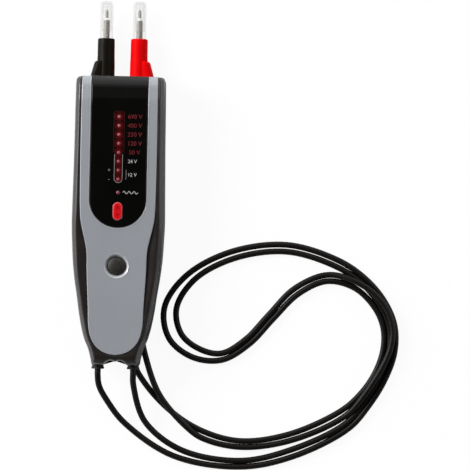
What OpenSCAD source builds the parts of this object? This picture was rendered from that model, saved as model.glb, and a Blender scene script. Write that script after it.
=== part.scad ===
// Two-pole voltage tester, lying on its back: X across, Y to the tips, Z out of the front.
// All sizes in millimetres. Heights of the outline are counted from the toe of the case.

/* [Case] */
// height of the top edge of the case
case_top = 184; // [180:0.5:190]
// greatest width of the case
case_width = 60; // [58:0.5:64]
// depth from the back rails to the joint of the two halves
shell_depth = 20; // [19:0.5:23]
// top face of the dark front frame above the joint
frame_rise = 12.6; // [12:0.1:13.4]
// reach of the rounded outer edges, seen from the front
edge_bevel = 2.2; // [1:0.1:3]
// depth of the rounded outer edges
edge_depth = 6; // [4:0.1:8]
// depth of the hollow in the wide part of the bumper
scoop_depth = 1.2; // [0.6:0.1:1.8]
// wall of the rear shell
shell_wall = 2.6; // [2:0.1:3.2]
// wall of the front frame
frame_wall = 3.2; // [2.4:0.1:3.8]
// height where the stepped-up lower back ends
step_height = 62; // [61:0.5:63]
// free height under the stepped-up lower back
step_lift = 8; // [7:0.1:8.4]
// floor of the front cavity, above the probe channels
cavity_floor = 15.7; // [14.8:0.1:16.6]
// width of the seal in the joint
seal_width = 1.2; // [0.8:0.1:1.6]
// height of the seal
seal_height = 0.8; // [0.5:0.1:1]

/* [Front panel] */
// underside of the silver front panel above the joint
panel_seat_rise = 10; // [9.5:0.1:10.6]
// top face of the silver front panel above the joint
panel_rise = 13; // [12.5:0.1:13.8]
// play between panel, window and frame
panel_gap = 0.1; // [0.05:0.01:0.2]
// width of the ledge that carries the panel
panel_ledge = 2.4; // [1.5:0.1:3]

/* [Window] */
// half of the width of the dark window
window_half = 18; // [16:0.1:19]
// length of the straight sides of the window, from its round end to the top edge
window_long = 79.8; // [76:0.1:83]
// top face of the window above the joint
window_rise = 13.6; // [13.2:0.1:14.4]
// underside of the window above the joint
window_seat_rise = 9.4; // [9:0.1:10]
// length over which the front slopes and rounds down to the top edge
slope_long = 15.5; // [12:0.5:20]
// fall of the front at the top edge
slope_fall = 4.8; // [3:0.1:5]

/* [Lamps] */
// distance of the highest voltage lamp from the top edge
lamp_down = 26.5; // [22:0.5:34]
// spacing of the voltage lamps
lamp_pitch = 5.76; // [5:0.01:6.2]
// number of lamps in the column
lamp_count = 8; // [6:1:8]
// height of the single lamp under the column
lamp_single = 108.7; // [107:0.1:112]
// diameter of a lamp where it shows
lamp_face = 2.2; // [1.6:0.1:3]
// diameter of a lamp body on the board
lamp_body = 3; // [2.6:0.1:3.6]
// width of the capsule lamp
capsule_width = 6.4; // [5:0.1:8]
// length of the capsule lamp
capsule_length = 11.8; // [9:0.1:12.4]
// height of the middle of the capsule lamp
capsule_height = 96.6; // [95:0.1:98]
// height of the capsule lamp above the window
capsule_proud = 0.3; // [0.1:0.1:0.8]

/* [Push button] */
// diameter of the push button
button_diameter = 11.8; // [9:0.1:13]
// height of the middle of the push button
button_height = 61.3; // [56:0.1:66]
// travel of the push button
button_travel = 1; // [0.6:0.1:1.2]
// play round the push button
button_play = 0.08; // [0.04:0.01:0.1]
// bevel round the button hole
button_bevel = 1; // [0.4:0.1:1.6]
// width of the flange under the button
button_flange = 1.3; // [0.8:0.1:2]
// thickness of the flange under the button
button_flange_depth = 1.2; // [0.8:0.1:1.3]

/* [Board] */
// underside of the circuit board above the joint
board_rise = 4; // [3.6:0.1:4.4]
// thickness of the circuit board
board_thick = 1.6; // [1:0.1:2]
// half of the width of the upper board
board_half = 17; // [14:0.1:19]
// half of the width of the lower board
board_low_half = 13; // [11:0.1:13.5]
// lower end of the circuit board
board_from = 12; // [11.5:0.1:16]
// distance of the circuit board from the top edge
board_down = 10; // [8:0.5:16]
// diameter of the board posts
post_diameter = 5; // [3:0.1:6]
// diameter of the buzzer
buzzer_diameter = 14; // [10:0.1:16]
// height of the buzzer above the board
buzzer_rise = 3.6; // [2:0.1:3.6]
// middle of the buzzer along the case
buzzer_height = 36; // [32:0.5:40]

/* [Battery bay] */
// diameter of a battery cell
cell_diameter = 10.4; // [9.8:0.1:10.5]
// length of a battery cell
cell_length = 43.4; // [42:0.1:44]
// play between a cell and the bay
cell_play = 0.3; // [0.2:0.05:0.5]
// lower end of the battery bay
bay_from = 11; // [10.5:0.1:11.5]
// upper end of the battery bay
bay_to = 58.5; // [58:0.1:59]
// thickness of the battery cover
cover_thick = 1.4; // [1:0.1:1.5]
// lip on which the battery cover seats
cover_lip = 2; // [1.4:0.1:2.4]
// play round the battery cover
cover_play = 0.15; // [0.1:0.01:0.3]

/* [Screws] */
// diameter of a case screw
screw_diameter = 2.9; // [2:0.1:3.2]
// diameter of a screw head
screw_head = 5.6; // [4.6:0.1:6]
// depth of a screw head
screw_head_depth = 2.4; // [1.6:0.1:2.6]
// depth of a screw head below the back
screw_sink = 1; // [0.6:0.1:1.4]
// distance of the case screws from the widest sides
screw_inset = 6.8; // [6.4:0.1:7.2]
// height of the lower case screws
screw_low = 78; // [74:0.5:84]
// distance of the upper case screws from the top edge
screw_down = 12; // [10:0.5:18]
// upper end of the case screws above the joint
screw_rise = 7.5; // [5:0.1:8.5]

/* [Probes] */
// distance of a probe from the middle of the case
probe_reach = 10.8; // [10.4:0.1:11]
// height of a probe axis above the table
probe_level = 7.2; // [7:0.1:7.4]
// diameter of a probe handle
probe_diameter = 11.6; // [10.6:0.1:12]
// play between a probe and its channel
probe_play = 0.4; // [0.2:0.05:0.5]
// lower end of a probe handle
probe_from = 86; // [84:0.5:90]
// length of a probe handle that shows above the case
probe_shows = 25.7; // [22:0.1:30]
// gap between the case and the finger guard
guard_gap = 0.6; // [0.4:0.1:4]
// length of the finger guard
guard_long = 10.4; // [8:0.1:13]
// reach of the finger guard from the probe axis
guard_reach = 9.8; // [8:0.1:11]
// reach of the finger guard at its upper end
guard_top_reach = 7.6; // [6.6:0.1:8]
// diameter of the bore in the handle
probe_bore = 5.4; // [4.8:0.1:6]
// travel of a probe out of its channel
probe_travel = 20; // [10:1:24]

/* [Tips] */
// diameter of a tip rod
tip_diameter = 4; // [3:0.1:4.2]
// length of a tip rod inside its handle
tip_hidden = 62.6; // [50:0.1:70]
// length of a tip that shows above its handle
tip_shows = 19.3; // [17.4:0.1:20.4]
// length of the thin part of a tip
tip_thin = 6; // [4:0.1:8]
// diameter of the thin part of a tip
tip_point = 2.2; // [1.6:0.1:3]
// length of the cone at each step of a tip
tip_cone = 1.4; // [0.8:0.1:2]

/* [Caps] */
// outer diameter of a tip cap
cap_diameter = 8.7; // [8:0.1:9.4]
// free length between a point and the closed end of its cap
cap_room = 4.3; // [3:0.1:7]
// wall of a tip cap
cap_wall = 1.1; // [0.8:0.1:1.4]
// rounding of the closed end of a tip cap
cap_round = 2.6; // [1.6:0.1:4]
// length of the gripping mouth of a tip cap
cap_mouth = 4; // [2:0.1:6]
// running clearance of the cap on the tip
cap_play = 0.06; // [0.02:0.01:0.1]

/* [Leads] */
// diameter of a lead
lead_diameter = 3.6; // [3:0.1:3.6]
// depth of the lead exits below the joint
exit_drop = 1; // [0.8:0.1:1.4]
// distance of a lead exit from the middle
exit_reach = 11.5; // [11:0.1:12]
// lower end of the lead boots on the case
exit_from = -5.8; // [-7:0.1:-5]
// diameter of a lead boot on the case
exit_diameter = 8.3; // [7.4:0.1:9]
// diameter of a boot where it passes the wall
exit_neck = 6.4; // [5:0.1:6.8]
// lower end of the boot on a probe
tail_from = 72; // [70:0.5:74]
// diameter of the probe boot at the lead
tail_small = 5.6; // [4.6:0.1:6.4]
// diameter of the probe boot at the handle
tail_large = 9.8; // [8:0.1:10.4]

/* [Hidden] */

// side of the case from a leg up: share of half the width, share of the height
case_side_shares = [[0.53, 0], [0.59, 0.0386], [0.68, 0.0734], [0.74, 0.1087], [0.7833, 0.1435],
    [0.82, 0.1788], [0.8475, 0.2136], [0.88, 0.2489], [0.9142, 0.2826], [0.9433, 0.319],
    [0.9633, 0.3533], [0.9767, 0.3891], [0.9967, 0.4592], [1, 0.5], [0.9933, 0.5641],
    [0.9767, 0.7397], [0.97, 0.8799], [0.9633, 0.9792], [0.9567, 0.9876], [0.94, 0.9946],
    [0.9133, 0.9986], [0.8733, 1]];
// side of the silver panel from its toe up, in the same shares
panel_side_shares = [[0.0667, 0.0222], [0.2, 0.0283], [0.3667, 0.0446], [0.4933, 0.0723],
    [0.5633, 0.1087], [0.5833, 0.1413], [0.5867, 0.1793], [0.5967, 0.212], [0.62, 0.2826],
    [0.63, 0.319], [0.6333, 0.3533], [0.6467, 0.3891], [0.69, 0.4239], [0.7433, 0.4592],
    [0.7867, 0.4946], [0.8, 0.5272], [0.8067, 0.5652], [0.8167, 0.7391], [0.8133, 1]];
// fall of the front at the top end: share of the slope's length, share of its fall
slope_shares = [[0, 0], [0.613, 0.256], [0.742, 0.41], [0.839, 0.565], [0.935, 0.773],
    [0.974, 0.89], [1, 1]];
// section of the rounded outer edge, outside in: share of its reach, share of its depth
edge_shares = [[0, 0], [0.16, 0.3], [0.38, 0.56], [0.66, 0.79], [1, 1]];

// levels that ride on the joint of the two halves
frame_level = shell_depth + frame_rise;
panel_seat = shell_depth + panel_seat_rise;
panel_level = shell_depth + panel_rise;
window_level = shell_depth + window_rise;
window_seat = shell_depth + window_seat_rise;
board_seat = shell_depth + board_rise;
screw_tip = shell_depth + screw_rise;
exit_level = shell_depth - exit_drop;
exit_straight = 3.8;
tail_straight = 4.6;

// middles of the two leads: across, height, level. The first run ends under the case, the tail at a probe
route_black = [[-exit_reach, exit_from, exit_level], [-exit_reach, exit_from - exit_straight, exit_level],
    [-10.6, -17, 16.4], [-5.5, -27, 11], [6, -42, 4],
    [38, -63, 1.8], [82, -69.5, 1.8], [117, -62, 1.8], [153, -43, 1.8], [165.5, -28.5, 1.8],
    [176, -11, 1.8], [182.3, 7.5, 1.8], [182, 25.5, 1.8], [174.5, 42, 1.8], [161, 56.8, 1.8],
    [143, 68, 1.8], [110, 77, 1.8], [73, 71.5, 1.8], [44, 55, 1.8], [30.5, 34, 1.8], [34, 14, 1.8],
    [49.5, 2, 1.8], [69, 0.5, 1.8], [87, 11.5, 1.8], [102, 28, 1.8], [118.5, 45, 1.8], [137, 53.6, 1.8],
    [155.2, 49.6, 1.8], [168.4, 37.4, 1.8], [174.6, 24, 1.8], [174.8, 8.8, 1.8], [169, -7.7, 1.8],
    [158.8, -22, 1.8], [146.6, -32.3, 1.8], [114, -47.5, 1.8], [82, -52.5, 1.8], [56, -46, 1.8],
    [34, -32, 1.8], [15, -10.5, 1.8], [4, 14, 1.8]];
route_red = [[exit_reach, exit_from, exit_level], [exit_reach, exit_from - exit_straight, exit_level],
    [11.7, -16, 16.4], [19.5, -41, 4.5],
    [43, -59, 1.8], [82, -65.5, 1.8], [116, -57.5, 1.8], [150.6, -40.1, 1.8], [162.4, -26.3, 1.8],
    [172.5, -9.4, 1.8], [178.5, 8.1, 1.8], [178.3, 24.7, 1.8], [171.3, 39.8, 1.8], [158.6, 53.8, 1.8],
    [141, 64.2, 1.8], [110, 72.5, 1.8], [76, 67.5, 1.8], [50, 53, 1.8], [38.5, 34, 1.8], [42, 17, 1.8],
    [54, 7.5, 1.8], [68.5, 4.8, 1.8], [84.5, 14.5, 1.8], [99, 30.5, 1.8], [116, 48.5, 1.8],
    [137.4, 57.8, 1.9], [157.4, 53, 5.6], [173, 40.9, 5.3], [180.2, 25.2, 5.3], [178.6, 8, 5.6],
    [160.6, -23.8, 4.9], [149, -36, 1.9], [115, -51.6, 1.8], [82, -56.5, 1.8],
    [57, -51, 3], [46, -43, 5.4], [32, -28, 5.5], [25.6, -17.5, 4.7], [19, 1, 1.8], [15, 18, 1.8]];
tail_black = [[4, 14, 1.8], [-6.6, 38, 1.8], [-10.4, 55, 4.2], 
    [-probe_reach, tail_from - tail_straight, probe_level], [-probe_reach, tail_from, probe_level]];
tail_red = [[15, 18, 1.8], [11.6, 38, 1.8], [10.9, 55, 4.2], 
    [probe_reach, tail_from - tail_straight, probe_level], [probe_reach, tail_from, probe_level]];

lead_sides = 8;
round_steps = 36;
probe_steps = 40;
nothing = 0.02;
beyond = 3;
guard_from = case_top + guard_gap;
guard_to = guard_from + guard_long;
probe_to = case_top + probe_shows;
tip_from = probe_to - tip_hidden;
tip_end = probe_to + tip_shows;
tip_shoulder = tip_end - tip_thin;
cap_end = tip_end + cap_room + cap_wall;
middle = (cap_end + exit_from) / 2;
window_round = case_top - window_long;
lamp_first = case_top - lamp_down;
screw_reach = case_width / 2 - screw_inset;
screw_high = case_top - screw_down;
board_to = case_top - board_down;
leg_half = 4;
leg_drop = 3;
web_half = 3.2;
web_rise = 0.4;
web_drop = 0.6;
web_root = 1.2;
lip_long = 7;
lip_seat = 25.4;
scoop_rim = 2.6;
scoop_inner = 1.6;
scoop_from = 20;
scoop_to = 92;
grip_lines = 4;
grip_from = 48;
grip_pitch = 2.4;
grip_half = 7;
grip_wide = 0.9;
grip_deep = 0.4;
board_top = board_seat + board_thick;
lamp_rim = 0.1;
lamp_sink = 0.3;
lamp_shelf = 0.3;
box_rim = 0.8;
box_gap = 0.2;
button_dish = 0.5;
button_lift = 0.25;
flange_gap = 0.3;
switch_width = 6;
switch_depth = 1.2;
switch_stem = 3;
switch_gap = 0.2;
chip_width = 9;
chip_depth = 1.4;
chip_height = 78;
part_long = 6.4;
part_wide = 2.2;
part_deep = 1.6;
part_pitch = 4.2;
part_height = 92;
parts_in_row = 4;
post_low = 84;
post_high = 164;
post_reach = 13.4;
board_neck = 66;
boss_wall = 2.2;
bay_wall = 2;
bay_pocket = 12;
cell_nub = 4;
cell_nub_long = 0.9;
contact_thick = 0.5;
contact_wide = 8;
contact_low = 10.4;
contact_high = 18;
cover_tongue = 4;
cover_tongue_end = 66.5;
cover_screw_at = 63.4;
cover_screw_width = 2.2;
cover_screw_head = 4.4;
cover_screw_head_depth = 0.8;
cover_screw_long = 4.6;
clamp_from = 4.3;
clamp_to = 6.1;
clamp_play = 1.2;
clamp_rise = 2.8;
exit_wall_to = 0.6;
exit_flange_to = 2.8;
exit_flange = 8.4;
exit_tail = 5;
exit_tail_to = 6.4;
exit_lip = 1.2;
exit_waist = 7.4;
exit_play = 0.1;
wire_width = 1.6;
wire_reach = 10.4;
wire_end = 15;
wire_lead = 1.2;
wire_knee = 9.4;
channel_play = 0.2;
handle_front = 11.1;
handle_front_long = 12;
handle_waist = 11.2;
handle_waist_long = 2;
guard_lip = 1;
spigot = 4;
resistor_width = 4.6;
resistor_from = 98;
boot_rib = 0.7;
boot_ribs = 4;
boot_collar = 2;
cap_seat_gap = 0.2;
cap_step = 1.5;
tip_shoulder_step = 0.3;

module placed() { translate([0, -middle, 0]) children(); }
module along(reach, level) { translate([reach, 0, level]) rotate([-90, 0, 0]) children(); }

function mirrored(line) = concat(line, [for (i = [len(line) - 2:-1:1]) [-line[i][0], line[i][1]]]);
function on_case(shares) = [for (p = shares) [p[0] * case_width / 2, p[1] * case_top]];
function side_at(up) = case_width / 2 * lookup(up / case_top, [for (p = case_side_shares) [p[1], p[0]]]);
toe_line = [[0, -web_drop], [web_half, web_rise], [exit_reach - leg_half - web_root, -web_root],
    [exit_reach - leg_half, -leg_drop], [exit_reach + leg_half, -leg_drop]];
case_line = concat(toe_line, on_case(case_side_shares), [[0, case_top]]);
panel_line = concat(on_case([[0, panel_side_shares[0][1]]]), on_case(panel_side_shares), [[0, case_top]]);

module case_shape() { polygon(mirrored(case_line)); }
module panel_shape() { polygon(mirrored(panel_line)); }
module window_shape() {
    union() {
        translate([0, window_round]) circle(window_half, $fn = round_steps * 2);
        translate([-window_half, window_round]) square([window_half * 2, case_top - window_round + beyond]);
    }
}

// outline body with its outer edge rounded at the top: one ring of points for each level
module bevelled(low, high) {
    half_long = case_top / 2;
    line = mirrored(case_line);
    n = len(line);
    rings = concat([[0, low]],
        [for (p = edge_shares) [p[0] * edge_bevel, high - edge_depth * (1 - p[1])]]);
    polyhedron([for (r = rings, p = line) [p[0] * (1 - r[0] * 2 / case_width),
            half_long + (p[1] - half_long) * (1 - r[0] / half_long), r[1]]],
        ring_faces(n, len(rings)));
}
// faces of a stack of rings, closed at both ends
function ring_faces(n, m) = concat([[for (k = [0:n - 1]) k]], [[for (k = [n - 1:-1:0]) (m - 1) * n + k]],
    [for (i = [0:m - 2], k = [0:n - 1]) [i * n + k, (i + 1) * n + k, (i + 1) * n + (k + 1) % n]],
    [for (i = [0:m - 2], k = [0:n - 1]) [i * n + k, (i + 1) * n + (k + 1) % n, i * n + (k + 1) % n]]);
// everything under the front's side profile, which slopes and rounds down at the top end
module under_front(level) {
    translate([-case_width, 0, 0]) rotate([90, 0, 90]) linear_extrude(case_width * 2)
        polygon(concat([[-exit_reach, 0], [-exit_reach, level]],
            [for (p = slope_shares) [case_top - slope_long * (1 - p[0]), level - slope_fall * p[1]]],
            [[case_top, 0]]));
}
// the top end of a front piece, which reaches down over the end of the frame
module lip_part(grow) {
    translate([-case_width, case_top - lip_long - grow]) square([case_width * 2, lip_long + grow + beyond]);
}
// hollow of the bumper beside the narrow part of the panel
module scoop_shape(inset) {
    intersection() {
        difference() {
            offset(delta = -scoop_rim - inset) case_shape();
            offset(delta = scoop_inner + inset) panel_shape();
        }
        translate([-case_width, scoop_from]) square([case_width * 2, scoop_to - scoop_from]);
    }
}
module box_from(a, b) { translate(a) cube(b - a); }
module at_screws() {
    for (side = [-1, 1], up = [screw_low, screw_high]) translate([side * screw_reach, up, 0]) children();
}
module both_sides() { children(); mirror([1, 0, 0]) children(); }
module exit_bores(play) {
    both_sides() along(exit_reach, exit_level) {
        translate([0, 0, -beyond * 2])
            cylinder(exit_wall_to + beyond * 2, d = exit_neck + play * 2, $fn = round_steps);
        translate([0, 0, exit_wall_to])
            cylinder(exit_flange_to - exit_wall_to + play, d = exit_flange + play * 2, $fn = round_steps);
        translate([0, 0, exit_flange_to])
            cylinder(bay_from - bay_wall - exit_flange_to, d = exit_tail + play * 2, $fn = round_steps);
    }
}

module rear_shell() {
    bay_half = cell_diameter + cell_play * 2;
    color([0.09, 0.085, 0.085]) placed() difference() {
        union() {
            difference() {
                translate([0, 0, shell_depth]) mirror([0, 0, 1]) bevelled(0, shell_depth);
                // cavity over the probe channels
                translate([0, 0, cavity_floor]) linear_extrude(shell_depth) intersection() {
                    offset(delta = -shell_wall) case_shape();
                    translate([-case_width, board_neck]) square([case_width * 2, case_top]);
                }
                // pockets beside the battery bay
                translate([0, 0, bay_pocket]) linear_extrude(shell_depth) difference() {
                    intersection() {
                        offset(delta = -shell_wall) case_shape();
                        translate([-case_width, bay_from]) square([case_width * 2, bay_to - bay_from]);
                    }
                    translate([-bay_half - bay_wall, 0]) square([(bay_half + bay_wall) * 2, case_top]);
                }
            }
            // posts of the board and of the case screws
            for (side = [-1, 1], up = [post_low, post_high])
                translate([side * post_reach, up, cavity_floor - nothing])
                cylinder(board_seat - cavity_floor + nothing, d = post_diameter, $fn = round_steps);
            at_screws() translate([0, 0, cavity_floor - nothing])
                cylinder(shell_depth - cavity_floor + nothing, d = screw_diameter + boss_wall * 2,
                    $fn = round_steps);
        }
        // stepped-up lower back
        translate([-case_width, 0, 0]) rotate([90, 0, 90]) linear_extrude(case_width * 2)
            polygon([[-case_top, -beyond], [step_height + beyond, -beyond], [step_height, step_lift],
                [-case_top, step_lift]]);
        // probe channels, straight walls and a round floor, open at the back and at the top end
        both_sides() translate([probe_reach, step_height - beyond, 0]) {
            channel = probe_diameter / 2 + probe_play;
            translate([0, 0, probe_level]) rotate([-90, 0, 0])
                cylinder(case_top, r = channel, $fn = probe_steps);
            translate([-channel, 0, -beyond]) cube([channel * 2, case_top, probe_level + beyond]);
        }
        // battery bay and the seat of its cover
        box_from([-bay_half, bay_from, -beyond], [bay_half, bay_to, shell_depth + beyond]);
        translate([0, 0, -beyond]) linear_extrude(step_lift + cover_thick + beyond)
            offset(delta = cover_play)
            cover_shape();
        translate([0, cover_screw_at, 0])
            cylinder(step_lift + cover_thick + cover_screw_long, d = cover_screw_width, $fn = round_steps);
        at_screws() {
            translate([0, 0, -beyond])
                cylinder(screw_sink + screw_head_depth + beyond, d = screw_head + cover_play * 2,
                    $fn = round_steps);
            cylinder(shell_depth * 2, d = screw_diameter, $fn = round_steps);
        }
        exit_bores(exit_play);
    }
}

module bumper_frame() {
    color([0.11, 0.10, 0.10]) placed() difference() {
        intersection() {
            bevelled(shell_depth, frame_level);
            under_front(frame_level);
        }
        for (i = [1, 2]) translate([0, 0, frame_level - scoop_depth * i / 2]) linear_extrude(beyond)
            scoop_shape(scoop_rim * (i - 1) / 3);
        // cavity with four screw bosses left standing
        translate([0, 0, shell_depth - beyond])
            linear_extrude(panel_seat - panel_ledge / 2 - shell_depth + beyond)
            difference() {
                offset(delta = -frame_wall) case_shape();
                at_screws() circle(d = screw_diameter + boss_wall * 2, $fn = round_steps);
                for (side = [-1, 1], up = [screw_low, screw_high])
                    translate([side * (screw_reach + boss_wall + screw_diameter / 2), up])
                        square([screw_diameter + boss_wall * 2, screw_diameter + boss_wall * 2],
                            center = true);
            }
        translate([0, 0, shell_depth]) linear_extrude(frame_level) offset(delta = -panel_ledge)
            panel_shape();
        translate([0, 0, panel_seat]) linear_extrude(frame_level) offset(delta = panel_gap) panel_shape();
        translate([0, 0, window_seat]) linear_extrude(frame_level) offset(delta = panel_gap) window_shape();
        translate([0, 0, lip_seat]) linear_extrude(frame_level) intersection() {
            offset(delta = panel_gap) panel_shape();
            lip_part(panel_gap);
        }
        at_screws() cylinder(screw_tip, d = screw_diameter, $fn = round_steps);
        translate([0, 0, shell_depth - beyond]) linear_extrude(seal_height + beyond) seal_shape();
        exit_bores(exit_play);
    }
}

module seal_shape() {
    difference() {
        offset(delta = -seal_width) case_shape();
        offset(delta = -seal_width * 2) case_shape();
        translate([-case_width, -beyond * 2]) square([case_width * 2, exit_flange_to + beyond * 3]);
        at_screws() circle(d = screw_diameter + boss_wall * 2, $fn = round_steps);
    }
}
module case_seal() {
    color([0.05, 0.05, 0.05]) placed() translate([0, 0, shell_depth]) linear_extrude(seal_height)
        seal_shape();
}

module front_panel() {
    color([0.56, 0.57, 0.60]) placed() difference() {
        intersection() {
            union() {
                translate([0, 0, panel_seat]) linear_extrude(panel_level - panel_seat) panel_shape();
                translate([0, 0, lip_seat]) linear_extrude(panel_level - lip_seat) intersection() {
                    panel_shape();
                    lip_part(0);
                }
            }
            under_front(panel_level);
        }
        linear_extrude(panel_level * 2) offset(delta = panel_gap) window_shape();
        translate([0, button_height, 0])
            cylinder(panel_level * 2, d = button_diameter + button_play * 2, $fn = round_steps * 2);
        translate([0, button_height, panel_level - button_bevel])
            cylinder(button_bevel + nothing, d1 = button_diameter + button_play * 2,
                d2 = button_diameter + button_play * 2 + button_bevel * 2, $fn = round_steps * 2);
    }
}

module lamp_places() {
    for (i = [0:lamp_count - 1]) translate([0, lamp_first - i * lamp_pitch, 0]) children();
    translate([0, lamp_single, 0]) children();
}
module capsule_shape(grow) {
    turn = capsule_length / 2 - capsule_width / 2;
    translate([0, capsule_height]) hull() for (s = [-1, 1]) translate([0, s * turn])
        circle(d = capsule_width + grow * 2, $fn = round_steps);
}
module display_window() {
    color([0.02, 0.02, 0.025]) placed() difference() {
        intersection() {
            union() {
                translate([0, 0, window_seat]) linear_extrude(window_level - window_seat) window_shape();
                translate([0, 0, lip_seat]) linear_extrude(window_level - lip_seat) intersection() {
                    window_shape();
                    lip_part(0);
                }
            }
            under_front(window_level);
        }
        lamp_places() cylinder(window_level * 2, d = lamp_face + lamp_rim * 2, $fn = round_steps);
        linear_extrude(window_level * 2) capsule_shape(panel_gap);
    }
}

module voltage_leds() {
    color([0.78, 0.16, 0.18]) placed() lamp_places() {
        translate([0, 0, board_top]) cylinder(window_seat - lamp_shelf - board_top, d = lamp_body,
            $fn = round_steps / 2);
        translate([0, 0, window_seat - lamp_shelf - nothing])
            cylinder(window_level - lamp_sink - window_seat + lamp_shelf, d = lamp_face,
                $fn = round_steps / 2);
    }
}
module capsule_lens() {
    color([0.72, 0.10, 0.12]) placed() translate([0, 0, window_seat])
        linear_extrude(window_level + capsule_proud - window_seat) capsule_shape(0);
}
module lamp_box() {
    color([0.85, 0.85, 0.82]) placed() difference() {
        translate([0, 0, board_top]) linear_extrude(window_seat - board_top) capsule_shape(box_rim);
        translate([0, 0, board_top + box_rim]) linear_extrude(window_seat) capsule_shape(-box_rim);
    }
}

module circuit_board() {
    color([0.10, 0.30, 0.16]) placed() translate([0, 0, board_seat]) linear_extrude(board_thick) union() {
        translate([-board_half, board_neck]) square([board_half * 2, board_to - board_neck]);
        translate([-board_low_half, board_from]) square([board_low_half * 2, board_neck - board_from]);
    }
}
module tact_switch() {
    color([0.12, 0.12, 0.12]) placed() translate([0, button_height, board_top]) {
        translate([-switch_width / 2, -switch_width / 2, 0])
            cube([switch_width, switch_width, switch_depth]);
        cylinder(button_rest - board_top - button_travel - switch_gap, d = switch_stem,
            $fn = round_steps / 2);
    }
}
module buzzer() {
    color([0.10, 0.10, 0.10]) placed() translate([0, buzzer_height, board_top]) difference() {
        cylinder(buzzer_rise, d = buzzer_diameter, $fn = round_steps);
        translate([0, 0, buzzer_rise / 2]) cylinder(buzzer_rise, d = lamp_face, $fn = round_steps / 2);
    }
}
module main_chip() {
    color([0.08, 0.08, 0.09]) placed() translate([-chip_width / 2, chip_height, board_top])
        cube([chip_width, chip_width, chip_depth]);
}
module resistor_row() {
    color([0.20, 0.42, 0.60]) placed() both_sides() for (i = [0:parts_in_row - 1])
        translate([board_half - part_long - box_rim, part_height + i * part_pitch, board_top])
            cube([part_long, part_wide, part_deep]);
}

button_rest = panel_seat - flange_gap - button_flange_depth;
module push_button() {
    top = panel_level + button_lift;
    color([0.13, 0.13, 0.13]) placed() translate([0, button_height, 0])
        rotate_extrude($fn = round_steps * 2)
        polygon([[0, button_rest], [button_diameter / 2 + button_flange, button_rest],
            [button_diameter / 2 + button_flange, button_rest + button_flange_depth],
            [button_diameter / 2, button_rest + button_flange_depth],
                [button_diameter / 2, top - button_dish],
            [button_diameter / 2 - button_dish, top], [button_diameter / 4, top - button_dish / 2],
            [0, top - button_dish]]);
}

module cover_shape() {
    half = cell_diameter + cell_play * 2 + cover_lip;
    union() {
        translate([-half, bay_from - cover_lip]) square([half * 2, bay_to - bay_from + cover_lip * 2]);
        translate([-cover_tongue, bay_from]) square([cover_tongue * 2, cover_tongue_end - bay_from]);
    }
}
module battery_cover() {
    color([0.08, 0.08, 0.08]) placed() difference() {
        translate([0, 0, step_lift]) linear_extrude(cover_thick) cover_shape();
        translate([0, cover_screw_at, 0]) cylinder(shell_depth, d = cover_screw_width, $fn = round_steps);
        translate([0, cover_screw_at, 0])
            cylinder(step_lift + cover_screw_head_depth, d = cover_screw_head, $fn = round_steps);
        for (i = [0:grip_lines - 1]) box_from([-grip_half, grip_from + i * grip_pitch, 0],
            [grip_half, grip_from + i * grip_pitch + grip_wide, step_lift + grip_deep]);
    }
}
module cover_screw() {
    color([0.62, 0.62, 0.64]) placed() translate([0, cover_screw_at, step_lift]) difference() {
        union() {
            cylinder(cover_screw_head_depth, d = cover_screw_head, $fn = round_steps);
            cylinder(cover_screw_long + cover_thick, d = cover_screw_width, $fn = round_steps);
        }
        cross_slot(cover_screw_head, cover_screw_head_depth);
    }
}
module cross_slot(wide, deep) {
    for (turn = [0, 90]) rotate(turn) translate([-wide / 4, -wide / 12, -nothing])
        cube([wide / 2, wide / 6, deep / 2 + nothing]);
}
module case_screws() {
    color([0.55, 0.55, 0.57]) placed() at_screws() difference() {
        union() {
            translate([0, 0, screw_sink]) cylinder(screw_head_depth, d = screw_head, $fn = round_steps);
            translate([0, 0, screw_sink]) cylinder(screw_tip - screw_sink, d = screw_diameter,
                $fn = round_steps);
        }
        translate([0, 0, screw_sink]) cross_slot(screw_head, screw_head_depth);
    }
}

cell_level = step_lift + cover_thick + cell_diameter / 2 + nothing * 5;
cell_start = bay_to - contact_thick - cell_nub_long - cell_length;
module battery_cells() {
    color([0.30, 0.42, 0.36]) placed() for (side = [-1, 1])
        translate([side * (cell_diameter + cell_play) / 2, cell_start, cell_level])
            rotate([-90, 0, 0]) {
                cylinder(cell_length, d = cell_diameter, $fn = round_steps);
                cylinder(cell_length + cell_nub_long, d = cell_nub, $fn = round_steps / 2);
            }
}
module battery_contacts() {
    color([0.78, 0.78, 0.76]) placed() for (side = [-1, 1])
        translate([side * (cell_diameter + cell_play) / 2, 0, 0]) {
        box_from([-contact_wide / 2, bay_to - contact_thick, contact_low],
            [contact_wide / 2, bay_to, contact_high]);
        box_from([-contact_wide / 2, bay_from, contact_low],
            [contact_wide / 2, bay_from + contact_thick, contact_high]);
        translate([0, bay_from, cell_level]) rotate([-90, 0, 0])
            cylinder(cell_start - bay_from, d1 = cell_nub * 1.6, d2 = cell_nub, $fn = round_steps / 2);
    }
}

module exit_boot(side) {
    along(side * exit_reach, exit_level) rotate_extrude($fn = round_steps)
        polygon([[0, exit_from], [exit_diameter / 2, exit_from], [exit_diameter / 2, exit_from + exit_lip],
            [exit_waist / 2, exit_from + exit_lip], [exit_waist / 2, -leg_drop],
            [exit_neck / 2, -leg_drop], [exit_neck / 2, exit_wall_to], [exit_flange / 2, exit_wall_to],
            [exit_flange / 2, exit_flange_to], [exit_tail / 2, exit_flange_to],
                [exit_tail / 2, exit_tail_to],
            [0, exit_tail_to]]);
}
module exit_boot_left() { color([0.07, 0.07, 0.07]) placed() exit_boot(-1); }
module exit_boot_right() { color([0.07, 0.07, 0.07]) placed() exit_boot(1); }

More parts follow.
